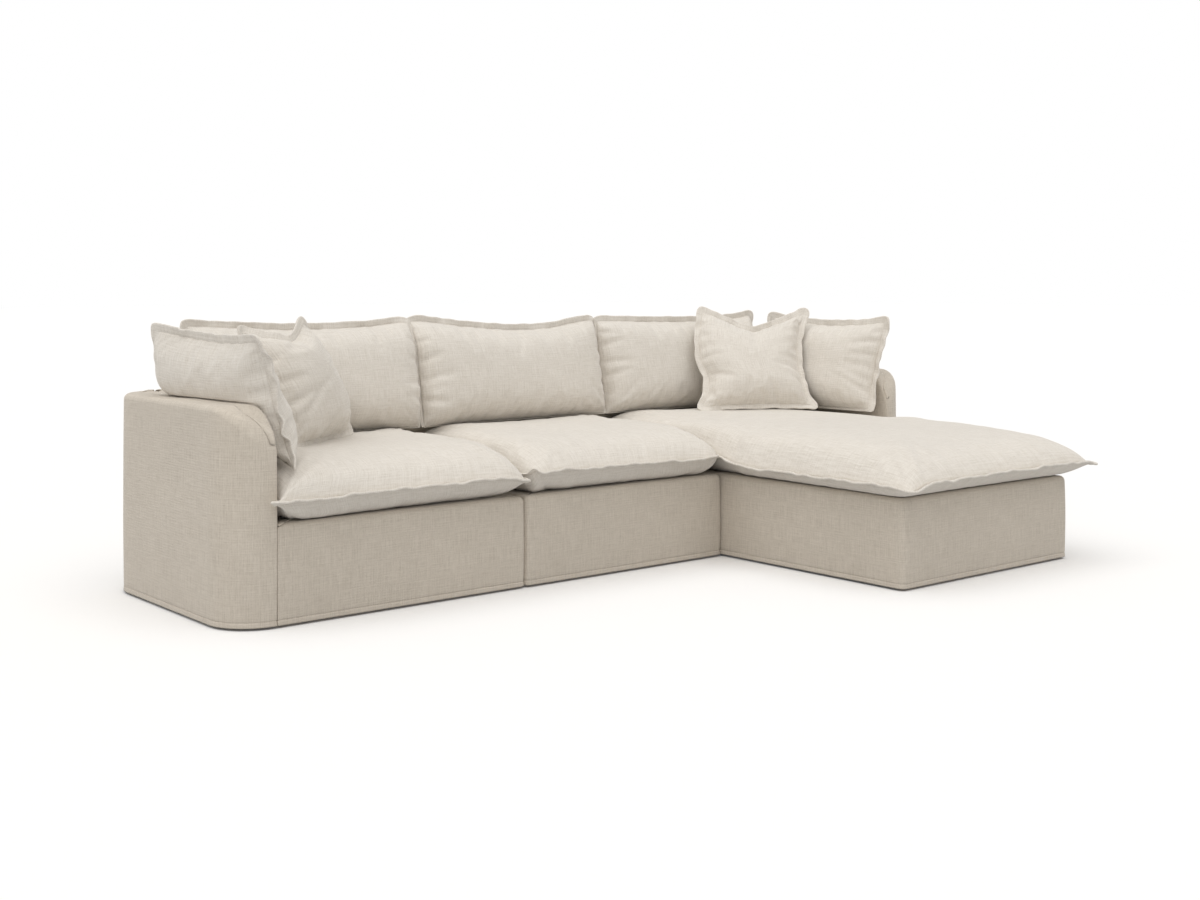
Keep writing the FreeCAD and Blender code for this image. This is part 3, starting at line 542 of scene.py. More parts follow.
base_height, back_height, arm_round = 310.0, 663.0, 150.0
front_line, back_face, back_line = 15.5, 771.5, 921.5
base, back = flat_top(base_height), flat_top(back_height)
arm = arm_top(back_height, front_line, arm_round)
for cover in (
        ("left", "base", (-1408.1, front_line), (-483.1, back_face), (5.0, 20.0, 5.0, 5.0),
         base, 20.0, (3.0, 0.0, 0.0, 0.0), 11),
        ("middle", "base", (-482.5, front_line), (442.5, back_face), (20.0, 20.0, 5.0, 5.0),
         base, 20.0, (3.0, 0.0, 0.0, 0.0), 12),
        ("chaise", "base", (443.1, -841.5), (1408.1, back_face), (22.0, 22.0, 5.0, 5.0),
         base, 20.0, (3.0, 3.0, 0.0, 2.0), 13),
        ("left", "back", (-1408.1, back_face), (-483.1, back_line), (5.0, 10.0, 14.0, 5.0),
         back, 22.0, (0.0, 0.0, 3.0, 0.0), 14),
        ("middle", "back", (-482.5, back_face), (442.5, back_line), (10.0, 10.0, 14.0, 14.0),
         back, 22.0, (0.0, 0.0, 3.0, 0.0), 15),
        ("chaise", "back", (443.1, back_face), (1408.1, back_line), (10.0, 5.0, 5.0, 14.0),
         back, 22.0, (0.0, 0.0, 3.0, 0.0), 16),
        ("left", "arm", (-1560.1, front_line), (-1408.1, back_line), (146.0, 5.0, 5.0, 146.0),
         arm, 20.0, (2.0, 0.0, 2.0, 2.5), 17),
        ("chaise", "arm", (1408.1, front_line), (1560.1, back_line), (5.0, 146.0, 146.0, 5.0),
         arm, 20.0, (2.0, 2.5, 2.0, 0.0), 18)):
    slipcover(*cover)


# Seat cushions: a foam core in a fibre wrap, in a cover of two panels. The panels are sewn
# together, turned and topstitched, which leaves a flat flange of up to 24 mm round a knife edge.
# The cushions' linen is the covers' linen made paler and less warm. This is painted light: it
# stands in for the stronger light on the cushions' tops and fronts than on the covers.
cushion_linen_painted_paler = linen("cushion_linen_painted_paler", (0.80, 0.76, 0.705), (0.63, 0.585, 0.52), 0.02, 0.35)


def smooth_curve(controls, at):
    """A curve through control points in millimetres, read at shares of its chord length.

    Between two points it is the cubic whose slopes at both are those of the chord between the
    neighbours on either side."""
    controls = np.array(controls, float) * MM
    knots = np.concatenate([[0.0], np.cumsum(np.linalg.norm(np.diff(controls, axis=0), axis=1))])
    slopes = np.empty_like(controls)
    slopes[1:-1] = (controls[2:] - controls[:-2]) / (knots[2:] - knots[:-2])[:, None]
    slopes[0] = (controls[1] - controls[0]) / (knots[1] - knots[0])
    slopes[-1] = (controls[-1] - controls[-2]) / (knots[-1] - knots[-2])
    place = np.asarray(at) * knots[-1]
    k = np.clip(np.searchsorted(knots, place, side="right") - 1, 0, len(knots) - 2)
    gap = (knots[k + 1] - knots[k])[:, None]
    t = ((place - knots[k])[:, None]) / gap
    return ((2 * t ** 3 - 3 * t ** 2 + 1) * controls[k]
            + (t ** 3 - 2 * t ** 2 + t) * gap * slopes[k]
            + (3 * t ** 2 - 2 * t ** 3) * controls[k + 1] + (t ** 3 - t ** 2) * gap * slopes[k + 1])


def even_shares(length, step):
    """Shares from 0 to 1, closer together near both ends, about step apart."""
    crowding, fewest = 0.055, 8
    t = np.linspace(0.0, 1.0, max(fewest, int(round(length / step))) + 1)
    return t - crowding * np.sin(2.0 * math.pi * t)


def rise(distance, quick, slow, share):
    """How far a panel has risen to its full height at a distance from the seam: 0 to 1.

    Two easings added: share of it happens over the quick length and the rest over the slow."""
    return 1.0 - share * np.exp(-distance / quick) - (1.0 - share) * np.exp(-distance / slow)


def coons(front, right, back, left, u, v):
    """The sheet between four edge curves: both pairs blended, less the blend of the corners."""
    u, v = u[None, :, None], v[:, None, None]
    ruled_v = (1 - v) * front[None] + v * back[None]
    ruled_u = (1 - u) * left[:, None] + u * right[:, None]
    corners = ((1 - u) * (1 - v) * front[0] + u * (1 - v) * front[-1]
               + (1 - u) * v * back[0] + u * v * back[-1])
    return ruled_v + ruled_u - corners


def blur(grid, passes):
    """Averages each point with its neighbours along both ways of the grid, edges held."""
    for _ in range(passes):
        inner = 0.5 * grid[1:-1] + 0.25 * (grid[2:] + grid[:-2])
        grid = np.concatenate([grid[:1], inner, grid[-1:]])
        inner = 0.5 * grid[:, 1:-1] + 0.25 * (grid[:, 2:] + grid[:, :-2])
        grid = np.concatenate([grid[:, :1], inner, grid[:, -1:]], 1)
    return grid


def capped(moves, limit):
    """Moves whose lengths are eased to stay under a limit."""
    size = np.linalg.norm(moves, axis=2, keepdims=True)
    return moves * (np.tanh(size / limit) * limit / np.maximum(size, 1e-9))


def cloth_settled(points, faces, pinned, slack, frames=16, push=4.0, mass=0.3, stiff=15.0,
                  bend=0.4):
    """Points after Blender's cloth has had frames steps with the seam pinned and air inside.

    slack is how much longer than the shape each part of the cloth was cut, in steps of a
    twentieth of the most. push is the air's pressure."""
    slack_steps = 20
    mesh = bpy.data.meshes.new("trial_cloth")
    mesh.from_pydata(points.tolist(), [], faces.tolist())
    trial = bpy.data.objects.new("trial_cloth", mesh)
    bpy.context.scene.collection.objects.link(trial)
    held = trial.vertex_groups.new(name="held")
    held.add(np.flatnonzero(pinned).tolist(), 1.0, "REPLACE")
    loose = trial.vertex_groups.new(name="loose")
    levels = np.clip(np.round((1.0 - slack / slack.max()) * slack_steps) / slack_steps, 0.0, 1.0)
    for level in np.unique(levels):
        loose.add(np.flatnonzero(levels == level).tolist(), float(level), "REPLACE")
    cloth = trial.modifiers.new("cloth", "CLOTH")
    settings = cloth.settings
    settings.quality = 5
    settings.mass = mass
    settings.tension_stiffness = stiff
    settings.compression_stiffness = stiff
    settings.shear_stiffness = stiff * 0.4
    settings.bending_stiffness = bend
    settings.air_damping = 2.0
    settings.vertex_group_mass = "held"
    settings.vertex_group_shrink = "loose"
    settings.shrink_min = -float(slack.max())
    settings.shrink_max = 0.0
    settings.use_pressure = True
    settings.uniform_pressure_force = push
    settings.effector_weights.gravity = 0.0
    cloth.collision_settings.use_collision = False
    cloth.collision_settings.use_self_collision = False
    cloth.point_cache.frame_start = 1
    cloth.point_cache.frame_end = frames
    scene = bpy.context.scene
    for step in range(1, frames + 1):
        scene.frame_set(step)
    ready = trial.evaluated_get(bpy.context.evaluated_depsgraph_get())
    settled = np.empty(len(points) * 3, np.float32)
    ready.data.vertices.foreach_get("co", settled)
    bpy.data.objects.remove(trial)
    bpy.data.meshes.remove(mesh)
    scene.frame_set(1)
    return settled.reshape(-1, 3).astype(float)


def flange_strip(root, outward, up, width, tilt, thickness):
    """The flat flange round a seam: a closed loop of cloth carried along the seam line.

    Its cross-section starts a fifth of its width inside the seam, runs out by width along the
    outward way, turned up by tilt, and is a flattened ring that is fuller at its folded edge."""
    lean = np.cos(tilt)[:, None] * outward + np.sin(tilt)[:, None] * up
    face = -np.sin(tilt)[:, None] * outward + np.cos(tilt)[:, None] * up
    profile = [(-0.22, 0.30), (0.10, 0.42), (0.40, 0.34), (0.70, 0.70), (0.92, 0.78),
               (1.0, 0.36), (1.0, -0.30), (0.92, -0.66), (0.70, -0.62), (0.40, -0.34),
               (0.10, -0.42), (-0.22, -0.30)]
    rows = [root + lean * (a * width)[:, None] + face * (b * thickness) for a, b in profile]
    return np.stack(rows, 1)


def cushion(name, edges, normal, front, rear, settle, flange, seed, slack, step=12.5,
            keep=1.0, puckers=()):
    """A knife-edge cushion from its four seam curves.

    edges are control points of the seam's lower, right, upper and left runs. Lower and upper hold
    the corners and go to the right; the other two go up. The middle sheet is the patch between
    them, and each panel stands off it along normal by front or rear, functions of the distances
    to the four runs. Cloth simulation adds the puckers that sewn cloth has: slack is how much
    longer the cloth is cut at the seam and in the middle, and keep the share of the fine folds
    that stays. settle then presses the result against what it rests on. flange gives each run's
    flange width, tilt and waviness. Each pucker is a groove that starts at a run (its number), at
    a place along it, and fades over its reach inwards; it has a width, a depth and a sideways
    slant."""
    low, right, high, left = edges
    edges = low, [low[-1], *right, high[-1]], high, [low[0], *left, high[0]]
    lengths = [np.linalg.norm(np.diff(np.array(e, float), axis=0), axis=1).sum() * MM
               for e in edges]
    u = even_shares(max(lengths[0], lengths[2]), step * MM)
    v = even_shares(max(lengths[1], lengths[3]), step * MM)
    low, right, high, left = (smooth_curve(e, s) for e, s in zip(edges, (u, v, u, v)))
    normal = np.array(normal, float) / np.linalg.norm(normal)
    wander, drawn = 2.2 * MM, 0.6
    runs = []
    for k, (line, shares) in enumerate(((low, u), (right, v), (high, u), (left, v))):
        fade = np.sin(math.pi * shares) ** 0.5
        travel, wavy = shares * lengths[k], wander * flange[k][2]
        shake = ripple(travel, seed + 10 * k, (0.083, 0.131, 0.21, 0.056)) * wavy
        draw = ripple(travel, seed + 10 * k + 3, (0.071, 0.117, 0.19)) * wavy * drawn
        side = (line[:1] + line[-1:]) * 0.5 - (low.mean(0) + high.mean(0)) * 0.5
        side = side - normal * (side @ normal)[..., None]
        side = side / np.linalg.norm(side)
        runs.append(line + normal * (shake * fade)[:, None] + side * (draw * fade)[:, None])
    low, right, high, left = runs
    middle = coons(low, right, high, left, u, v)
    width, depth = 0.5 * (lengths[0] + lengths[2]), 0.5 * (lengths[1] + lengths[3])
    across, along = np.meshgrid(u, v)
    reach = [along * depth, (1 - across) * width, (1 - along) * depth, across * width]
    face_front = middle + normal * front(*reach, middle)[:, :, None]
    face_rear = middle - normal * rear(*reach, middle)[:, :, None]
    seam_hold, bank, bank_width = 7.0 * MM, 0.35, 2.2
    for run_number, place, into, wide, deep, slant in puckers:
        travel = reach[run_number]
        centre = place * MM + slant * travel
        beside = (across * width if run_number in (0, 2) else along * depth) - centre
        groove = (np.exp(-(beside / (wide * MM)) ** 2)
                  - bank * np.exp(-(beside / (bank_width * wide * MM)) ** 2))
        groove *= np.exp(-travel / (into * MM)) * (1.0 - np.exp(-travel / seam_hold))
        face_front -= normal * (deep * MM * groove)[:, :, None]
    rows, columns = across.shape
    count = rows * columns
    index = np.arange(count).reshape(rows, columns)
    border = np.zeros((rows, columns), bool)
    border[[0, -1]] = True
    border[:, [0, -1]] = True
    rear_index = np.where(border, index, 0)
    rear_index[~border] = count + np.arange((~border).sum())
    quads = grid_faces(rows, columns, False)
    rear_quads = rear_index.ravel()[quads][:, ::-1]
    points = np.concatenate([face_front.reshape(-1, 3), face_rear[~border]])
    points[index[border]] = middle[border]
    faces = np.concatenate([quads, rear_quads])
    near = np.minimum(np.minimum(reach[0], reach[1]), np.minimum(reach[2], reach[3]))
    pinned = np.concatenate([border.ravel(), np.zeros((~border).sum(), bool)])
    extra = slack[1] + (slack[0] - slack[1]) * np.exp(-near / (70.0 * MM))
    extra = np.concatenate([extra.ravel(), extra[~border]])
    change = cloth_settled(points, faces, pinned, extra) - points
    broad_limit, fine_limit = 6.0 * MM, 14.0 * MM
    for side_index in (index, rear_index):
        sheet = change[side_index]
        broad = blur(sheet, 60)
        fine = (sheet - broad) * keep
        change[side_index] = capped(broad, broad_limit) + capped(fine, fine_limit)
    points = points + change
    points = settle(points)
    weave_front = np.stack([across * width, along * depth], 2).reshape(-1, 2)[quads]
    other_cut = np.array([0.37, 0.53])
    weave_rear = weave_front[:, ::-1] + other_cut

    # The flange: its root is the seam, once round from the low left corner.
    seam = np.concatenate([index[0, :-1], index[:-1, -1], index[-1, :0:-1], index[:0:-1, 0]])
    turn_at = [0, columns - 1, columns - 1 + rows - 1, 2 * (columns - 1) + rows - 1]
    root = points[seam]
    laps = np.linalg.norm(np.roll(root, -1, 0) - root, axis=1)
    run = np.concatenate([[0.0], np.cumsum(laps)])
    ahead = np.roll(root, -2, 0) - np.roll(root, 2, 0)
    ahead -= normal * (ahead @ normal)[:, None]
    outward = np.cross(ahead, normal)
    outward /= np.linalg.norm(outward, axis=1, keepdims=True) + 1e-12
    which = np.repeat(np.arange(4), [columns - 1, rows - 1, columns - 1, rows - 1])
    settings = np.array([[w * MM, math.radians(t), wave, 0.0] for w, t, wave in flange])[which]
    spread = 5
    for corner in turn_at:
        previous = settings[corner - spread - 2].copy()
        following = settings[(corner + spread + 2) % len(root)].copy()
        for k in range(-spread, spread + 1):
            mixed = 0.5 + 0.5 * k / spread
            at = (corner + k) % len(root)
            settings[at, :3] = ((1 - mixed) * previous + mixed * following)[:3]
            settings[at, 3] = 1.0 - abs(k) / (spread + 1.0)
    for _ in range(3):
        outward = 0.5 * outward + 0.25 * (np.roll(outward, 1, 0) + np.roll(outward, -1, 0))
    outward /= np.linalg.norm(outward, axis=1, keepdims=True) + 1e-12
    span, tilt, wave, cornered = settings.T
    travel = run[:-1]
    tilt = tilt + wave * (0.30 * ripple(travel, seed + 71, (0.062, 0.094, 0.15))
                          + 0.22 * ripple(travel, seed + 72, (0.24, 0.4)))
    span = (span * (1.0 + 0.16 * cornered)
            + wave * 1.6 * MM * ripple(travel, seed + 73, (0.07, 0.12, 0.2)))
    up = np.broadcast_to(normal, outward.shape)
    strip = flange_strip(root, outward, up, span, tilt, 6.0 * MM)
    strip = settle(strip.reshape(-1, 3)).reshape(strip.shape)
    around, ring = strip.shape[:2]
    order = np.arange(around * ring).reshape(around, ring)
    strip_faces = np.stack([order, np.roll(order, -1, 1), np.roll(order, (-1, -1), (0, 1)),
                            np.roll(order, -1, 0)], 2).reshape(-1, 4) + len(points)
    strip_u = np.broadcast_to(run[:, None], (around + 1, ring + 1))
    strip_v = np.broadcast_to(np.linspace(0.0, 0.06, ring + 1)[None], (around + 1, ring + 1))
    open_faces = grid_faces(around + 1, ring + 1, False)
    strip_weave = np.stack([strip_u.ravel()[open_faces], strip_v.ravel()[open_faces]], 2)
    piece = smooth_object(name, np.concatenate([points, strip.reshape(-1, 3)]),
                          np.concatenate([faces, strip_faces[:, ::-1]]), cushion_linen_painted_paler,
                          np.concatenate([weave_front, weave_rear, strip_weave]))
    smooth = piece.modifiers.new("smooth", "SUBSURF")
    smooth.levels = smooth.render_levels = 1
    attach(piece, name)
    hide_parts(name + "_cover", name + "_insert")
    threads = []
    for column, facing in ((1, up), (10, -up)):
        line = np.concatenate([strip[:, column], strip[:1, column]])
        facing = np.concatenate([facing, facing[:1]])
        threads.append(stitch_row(line, facing, 6.0 * MM, 3.8 * MM, 0.6 * MM))
    stitches(name + "_stitches", threads, name)


seat_top, deck = 493.0 * MM, 311.0 * MM


def seat_profile(front_slow, side_quick, side_slow, pressed_left=1.0, pressed_right=1.0):
    """Heights of a seat cushion's top panel over its seam: domed to the front, firm at the sides.

    From the base's front to 190 mm behind it, the lengths over which a side rises shrink to
    those of cushions that are pressed together, on the sides where pressed is 1."""
    starts, over, firm_quick, firm_slow = -0.03, 0.22, 0.008, 0.028

    def height(to_front, to_right, to_back, to_left, middle):
        tight = np.clip((middle[:, :, 1] - starts) / over, 0.0, 1.0)
        shape = rise(to_front, 0.020, front_slow, 0.42) * rise(to_back, 0.010, 0.02, 0.7)
        for to_side, pressed in ((to_left, pressed_left), (to_right, pressed_right)):
            quick = side_quick + (firm_quick - side_quick) * tight * pressed
            slow = side_slow + (firm_slow - side_slow) * tight * pressed
            shape = shape * rise(to_side, quick, slow, 0.7)
        return (seat_top - middle[:, :, 2]) * shape
    return height


def seat_underside(to_front, to_right, to_back, to_left, middle):
    """Depths of the bottom panel under its seam: it rounds in quickly and lies flat on the deck."""
    shape = (rise(to_front, 0.034, 0.045, 0.8) * rise(to_right, 0.016, 0.03, 0.8)
             * rise(to_left, 0.016, 0.03, 0.8) * rise(to_back, 0.016, 0.03, 0.8))
    return (middle[:, :, 2] - deck) * shape * 1.02


def press_on_deck(points):
    """Nothing lies lower than the deck: what would is eased to stay within give above it."""
    give = 4.0 * MM
    points = points.copy()
    z = points[:, 2]
    points[:, 2] = np.where(z < deck + give, deck + give * np.exp((z - deck - give) / give), z)
    return points


cushion(
    "left_seat_cushion",
    ([(-1442, -22, 374), (-1400, -26, 377), (-1300, -26, 379), (-1100, -25, 382), (-850, -25, 384),
      (-650, -25, 383), (-570, -25, 378), (-506, -22, 362)],
     [(-493, 24, 372), (-490, 110, 376), (-490, 400, 376)],
     [(-1402, 760, 374), (-950, 764, 376), (-490, 760, 374)],
     [(-1416, -10, 375), (-1404, 10, 376), (-1402, 50, 376), (-1402, 400, 376)]),
    (0, 0, 1), seat_profile(0.13, 0.018, 0.055), seat_underside, press_on_deck,
    [(24, 14, 0.7), (5, 60, 0.5), (4, 70, 0.5), (5, 60, 0.5)], 101,
    (0.014, 0.004), keep=0.6)
cushion(
    "middle_seat_cushion",
    ([(-472, -24, 402), (-455, -27, 386), (-392, -28, 391), (-212, -28, 389), (-28, -28, 386),
      (165, -28, 383), (300, -28, 380), (364, -32, 383)],
     [(398, -6, 378), (419, 40, 376), (422, 150, 376)],
     [(-475, 760, 374), (-20, 764, 376), (422, 760, 374)],
     [(-474, 20, 384), (-475, 110, 376), (-475, 400, 376)]),
    (0, 0, 1), seat_profile(0.13, 0.018, 0.055), seat_underside, press_on_deck,
    [(24, 14, 0.7), (5, 60, 0.5), (4, 70, 0.5), (5, 60, 0.5)], 131,
    (0.014, 0.004), keep=0.6)
cushion(
    "chaise_seat_cushion",
    ([(414, -897, 336), (450, -899, 343), (495, -900, 358), (560, -899, 362), (800, -899, 364),
      (1100, -899, 366), (1350, -898, 364), (1440, -896, 359), (1488, -893, 350)],
     [(1482, -840, 358), (1478, -600, 364), (1478, -300, 366), (1476, -120, 368),
      (1462, -50, 370), (1425, -12, 373), (1405, 16, 376), (1402, 100, 376)],
     [(438, 760, 374), (920, 764, 376), (1402, 760, 374)],
     [(410, -850, 346), (408, -700, 350), (408, -450, 350), (408, -200, 352),
      (410, -90, 358), (425, -44, 366), (436, 0, 372), (438, 200, 376)]),
    (0, 0, 1), seat_profile(0.27, 0.024, 0.085, 1.0, 0.0), seat_underside, press_on_deck,
    [(24, 14, 0.8), (23, 12, 0.7), (4, 70, 0.5), (24, 14, 0.7)], 161,
    (0.014, 0.004), 14.0, 0.5)


# Back cushions: fibre filling in the same knife-edge covers. They stand on the seat cushions and
# lean on the backs, which press their rear panels flat as far up as the backs reach.
def plump(depth, quick, slow, share, foot):
    """Heights of a fibre-filled panel over its seam: the product of its rises from all four runs.

    depth is the most it reaches. The filling sinks to the lower run, where the panel rises
    within a shorter length, foot."""
    def height(to_low, to_right, to_high, to_left, middle):
        shape = rise(to_low, foot, 2.5 * foot, 0.6)
        for distance in (to_right, to_high, to_left):
            shape = shape * rise(distance, quick, slow, share)
        return depth * MM * shape / shape.max()
    return height


def soft_limit(value, limit, give):
    """Values up to the limit; those within give of it or past it are eased to stay under it."""
    over = value - (limit - give)
    return np.where(over > 0, limit - give * np.exp(-np.clip(over, 0.0, None) / give), value)


def above(value, floor, give):
    """Values from the floor up; those within give of it or below it are eased to stay over it."""
    return -soft_limit(-value, -floor, give)


stand = 493.5 * MM


def lean_on_back(points):
    """Stands on the seat and is flat against the back up to the back's top edge."""
    face, top_edge, freed_over = 770.0 * MM, 650.0 * MM, 60.0 * MM
    points = points.copy()
    points[:, 2] = above(points[:, 2], stand, 3.0 * MM)
    free = np.clip((points[:, 2] - top_edge) / freed_over, 0.0, 1.0)
    pressed = soft_limit(points[:, 1], face, 4.0 * MM)
    points[:, 1] = pressed + free * (points[:, 1] - pressed)
    return points


lean = (0.0, -0.978, 0.208)
back_front = plump(104.0, 0.017, 0.10, 0.46, 0.014)
back_rear = plump(56.0, 0.022, 0.09, 0.42, 0.02)
cushion(
    "left_back_cushion",
    ([(-1364, 696, 497), (-1150, 696, 497), (-900, 696, 497), (-640, 690, 497), (-492, 660, 496)],
     [(-487, 668, 598), (-487, 686, 690), (-487, 707, 801)],
     [(-1358, 768, 886), (-1283, 772, 882), (-1100, 772, 872), (-924, 772, 866), (-650, 772, 872),
      (-520, 768, 884), (-488, 752, 886)],
     [(-1356, 708, 600), (-1355, 730, 700), (-1356, 750, 800)]),
    lean, back_front, back_rear, lean_on_back,
    [(6, -70, 0.5), (7, -50, 0.8), (22, 8, 0.8), (20, -10, 1.0)], 201,
    (0.03, 0.008), 9.5,
    puckers=[(1, 90, 50, 13, 16, 0.25), (1, 165, 60, 12, 16, -0.2), (1, 235, 55, 12, 14, 0.2),
             (1, 310, 50, 11, 12, 0.3), (3, 150, 50, 14, 8, 0.2), (0, 640, 40, 16, 7, 0.3)])
cushion(
    "middle_back_cushion",
    ([(-474, 660, 496), (-230, 690, 497), (0, 696, 497), (240, 696, 497), (430, 690, 496)],
     [(431, 708, 550), (431, 731, 672), (430, 748, 775)],
     [(-472, 758, 888), (-420, 768, 888), (-233, 772, 866), (8, 772, 848), (200, 772, 852),
      (350, 770, 874), (425, 764, 882)],
     [(-479, 668, 598), (-479, 686, 690), (-478, 707, 801)]),
    lean, back_front, back_rear, lean_on_back,
    [(6, -70, 0.5), (7, -50, 0.8), (22, 8, 0.8), (7, -50, 0.8)], 231,
    (0.03, 0.008), 9.5,
    puckers=[(3, 95, 65, 12, 26, -0.25), (3, 165, 75, 11, 22, 0.15), (3, 235, 60, 12, 20, 0.3),
             (3, 310, 50, 10, 14, 0.1), (2, 470, 90, 20, 10, 0.45), (2, 500, 70, 16, 7, -0.5),
             (1, 140, 45, 12, 8, -0.3), (1, 260, 40, 13, 8, 0.2)])
cushion(
    "chaise_back_cushion",
    ([(440, 690, 496), (700, 696, 497), (930, 696, 497), (1150, 696, 497), (1358, 696, 497)],
     [(1352, 708, 600), (1350, 730, 700), (1350, 750, 800)],
     [(443, 762, 876), (540, 770, 874), (750, 772, 868), (1050, 772, 866), (1250, 772, 874),
      (1354, 766, 888)],
     [(437, 708, 550), (437, 731, 672), (438, 748, 775)]),
    lean, back_front, back_rear, lean_on_back,
    [(6, -70, 0.5), (20, -10, 1.0), (22, 8, 0.8), (7, -50, 0.8)], 261,
    (0.03, 0.008), 9.5,
    puckers=[(3, 150, 60, 12, 22, 0.25), (3, 215, 80, 11, 24, -0.1), (3, 280, 65, 12, 20, 0.2),
             (3, 340, 50, 10, 16, -0.2), (1, 150, 50, 13, 9, 0.2), (2, 560, 50, 18, 7, 0.3)])


# Side cushions: the same make as the back cushions. Each stands on an outer seat cushion, leans on
# an arm with its lower rear against the arm's inner face, and bulges over the arm's top edge.
def lean_on_arm(side, fall):
    """Stands on the seat and stays on the inner side of, or above, the arm at this side.

    fall is how far the seat's dome drops under the cushion's front corner. On the inner side of
    the arm it also stays before the back cushion."""
    inner_face, crest, back_cushion = 1406.0 * MM, 667.0 * MM, 642.0 * MM
    dome_starts, dome_over, free_from, free_over = 0.22, 0.18, 1400.0 * MM, 30.0 * MM

    def settle(points):
        points = points.copy()
        drop = fall * np.clip((dome_starts - points[:, 1]) / dome_over, 0.0, 1.0) ** 2
        points[:, 2] = above(points[:, 2], stand - drop, 3.0 * MM)
        beyond = side * points[:, 0] - inner_face
        below = crest - points[:, 2]
        inside = (beyond > 0) & (below > 0)
        sideways = inside & (beyond < below)
        upwards = inside & ~sideways
        points[sideways, 0] = side * inner_face
        points[upwards, 2] = crest
        behind = soft_limit(points[:, 1], back_cushion, 12.0 * MM)
        near = np.clip((free_from - side * points[:, 0]) / free_over, 0.0, 1.0)
        points[:, 1] += near * (behind - points[:, 1])
        return points
    return settle


side_inner = plump(96.0, 0.022, 0.105, 0.36, 0.02)
side_outer = plump(62.0, 0.02, 0.08, 0.45, 0.03)
cushion(
    "left_side_cushion",
    ([(-1338, 46, 470), (-1328, 150, 492), (-1322, 340, 500), (-1326, 500, 500), (-1338, 612, 500)],
     [(-1396, 644, 640), (-1472, 684, 704), (-1488, 700, 790)],
     [(-1436, 92, 856), (-1430, 220, 848), (-1438, 380, 848), (-1464, 560, 862), (-1497, 704, 878)],
     [(-1356, 74, 560), (-1382, 86, 660), (-1406, 88, 770)]),
    (0.94, 0.0, 0.342), side_inner, side_outer, lean_on_arm(-1, 30.0 * MM),
    [(14, -35, 0.8), (20, 0, 0.8), (24, 10, 0.8), (24, 10, 1.9)], 301,
    (0.03, 0.01), 9.5,
    puckers=[(3, 60, 60, 12, 10, 0.25), (3, 130, 60, 12, 12, -0.2), (3, 205, 55, 11, 11, 0.2),
             (3, 280, 60, 12, 12, 0.35), (3, 340, 50, 11, 9, -0.2)])
cushion(
    "right_side_cushion",
    ([(1334, 612, 500), (1324, 500, 500), (1322, 340, 500), (1330, 180, 500), (1348, 60, 502)],
     [(1364, 66, 570), (1388, 60, 680), (1412, 52, 780)],
     [(1422, 694, 880), (1420, 560, 862), (1418, 360, 850), (1424, 180, 854), (1438, 48, 868)],
     [(1374, 640, 610), (1402, 656, 700), (1414, 674, 800)]),
    (-0.94, 0.0, 0.342), side_inner, side_outer, lean_on_arm(1, 0.0),
    [(14, -35, 0.8), (24, 0, 1.5), (24, 6, 0.8), (20, 0, 0.8)], 331,
    (0.03, 0.01), 9.5,
    puckers=[(1, 70, 80, 12, 13, 0.5), (1, 120, 60, 11, 12, 0.35), (1, 175, 60, 12, 10, 0.2),
             (1, 235, 60, 12, 11, -0.1), (1, 300, 80, 12, 13, -0.25)])


# Throw pillows: square fibre-filled pillows, slacker than the others, that stand on the seats on
# their lower edges and lean back. Their corners stand up as ears with a dip between them.
def on_seat(points):
    """Stands on the seat's crown, half a millimetre over it."""
    points = points.copy()
    points[:, 2] = above(points[:, 2], stand + 0.5 * MM, 4.0 * MM)
    return points


def in_plane(foot, yaw, lean, outline):
    """Points in a pillow's own plane, as distances across and up it in mm, placed in the room.

    The plane stands on foot, turned by yaw about the upright and leant back by lean degrees."""
    yaw, lean = math.radians(yaw), math.radians(lean)
    aside = np.array([math.cos(yaw), math.sin(yaw), 0.0])
    upward = np.array([-math.sin(yaw) * math.sin(lean), math.cos(yaw) * math.sin(lean),
                       math.cos(lean)])
    return [tuple(np.array(foot) + a * aside + b * upward) for a, b in outline]


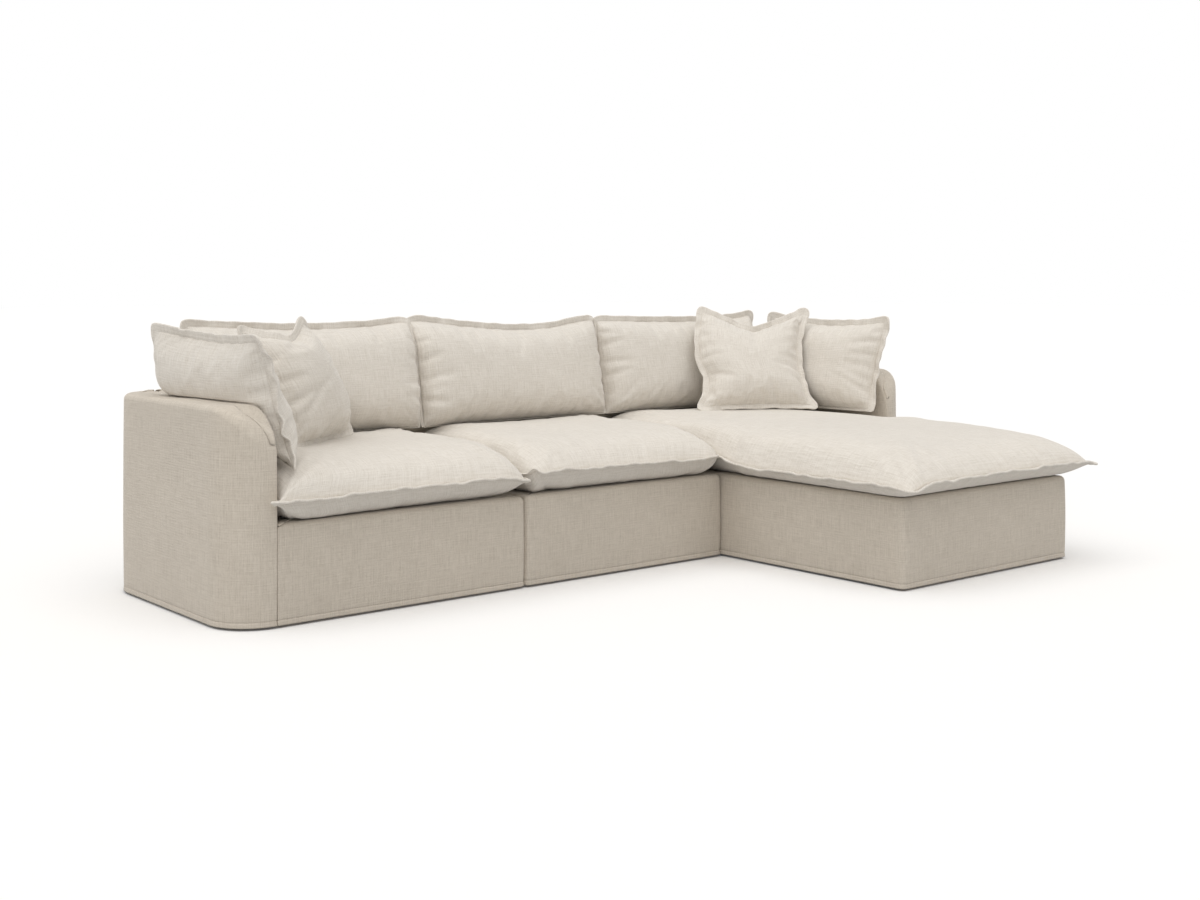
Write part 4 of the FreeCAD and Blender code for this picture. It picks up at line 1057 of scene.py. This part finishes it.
pillow_face = plump(84.0, 0.025, 0.10, 0.34, 0.03)
right_plane = ((991.0, 349.5, 489.0), -27.0, 30.0)
cushion(
    "right_throw_pillow",
    [in_plane(*right_plane, outline) for outline in (
        [(-248, 30), (-120, 36), (0, 38), (120, 36), (242, 30)],
        [(220, 80), (208, 180), (214, 260), (238, 370)],
        [(-176, 484), (-100, 446), (-20, 404), (40, 386), (100, 402), (200, 440), (288, 478)],
        [(-214, 90), (-200, 170), (-220, 250), (-206, 380)])],
    (-0.393, -0.772, 0.5), pillow_face, pillow_face, on_seat,
    [(18, -10, 1.2), (23, 0, 1.3), (24, 8, 0.9), (23, 0, 1.3)], 361,
    (0.05, 0.015), 9.0,
    puckers=[(3, 160, 60, 13, 13, -0.3), (3, 230, 80, 14, 10, 0.2), (1, 150, 70, 12, 12, 0.3),
             (1, 215, 60, 12, 10, 0.1), (1, 90, 50, 11, 9, 0.5), (2, 230, 70, 16, 8, 0.2),
             (0, 190, 60, 16, 7, 0.6), (0, 330, 60, 14, 7, -0.3)])
cushion(
    "left_throw_pillow",
    ([(-1186, 322, 506), (-1100, 372, 510), (-1010, 430, 512), (-930, 484, 514), (-856, 532, 520)],
     [(-888, 526, 600), (-938, 508, 690), (-1004, 484, 800)],
     [(-1320, 430, 874), (-1260, 410, 858), (-1200, 396, 846), (-1160, 400, 838), (-1124, 424, 856),
      (-1084, 456, 902)],
     [(-1232, 338, 600), (-1280, 372, 740)]),
    (0.482, -0.777, 0.389), pillow_face, plump(70.0, 0.025, 0.10, 0.34, 0.03), on_seat,
    [(18, -20, 1.0), (14, -20, 0.8), (24, 0, 0.8), (20, 0, 1.0)], 391,
    (0.06, 0.02), 9.0,
    puckers=[(3, 60, 130, 15, 20, 0.9), (3, 130, 120, 16, 18, 0.45), (3, 20, 110, 13, 15, 1.3),
             (3, 220, 80, 14, 10, 0.2), (0, 120, 60, 14, 12, 0.8), (1, 60, 50, 12, 8, 0.3),
             (0, 240, 60, 14, 8, 0.5)])
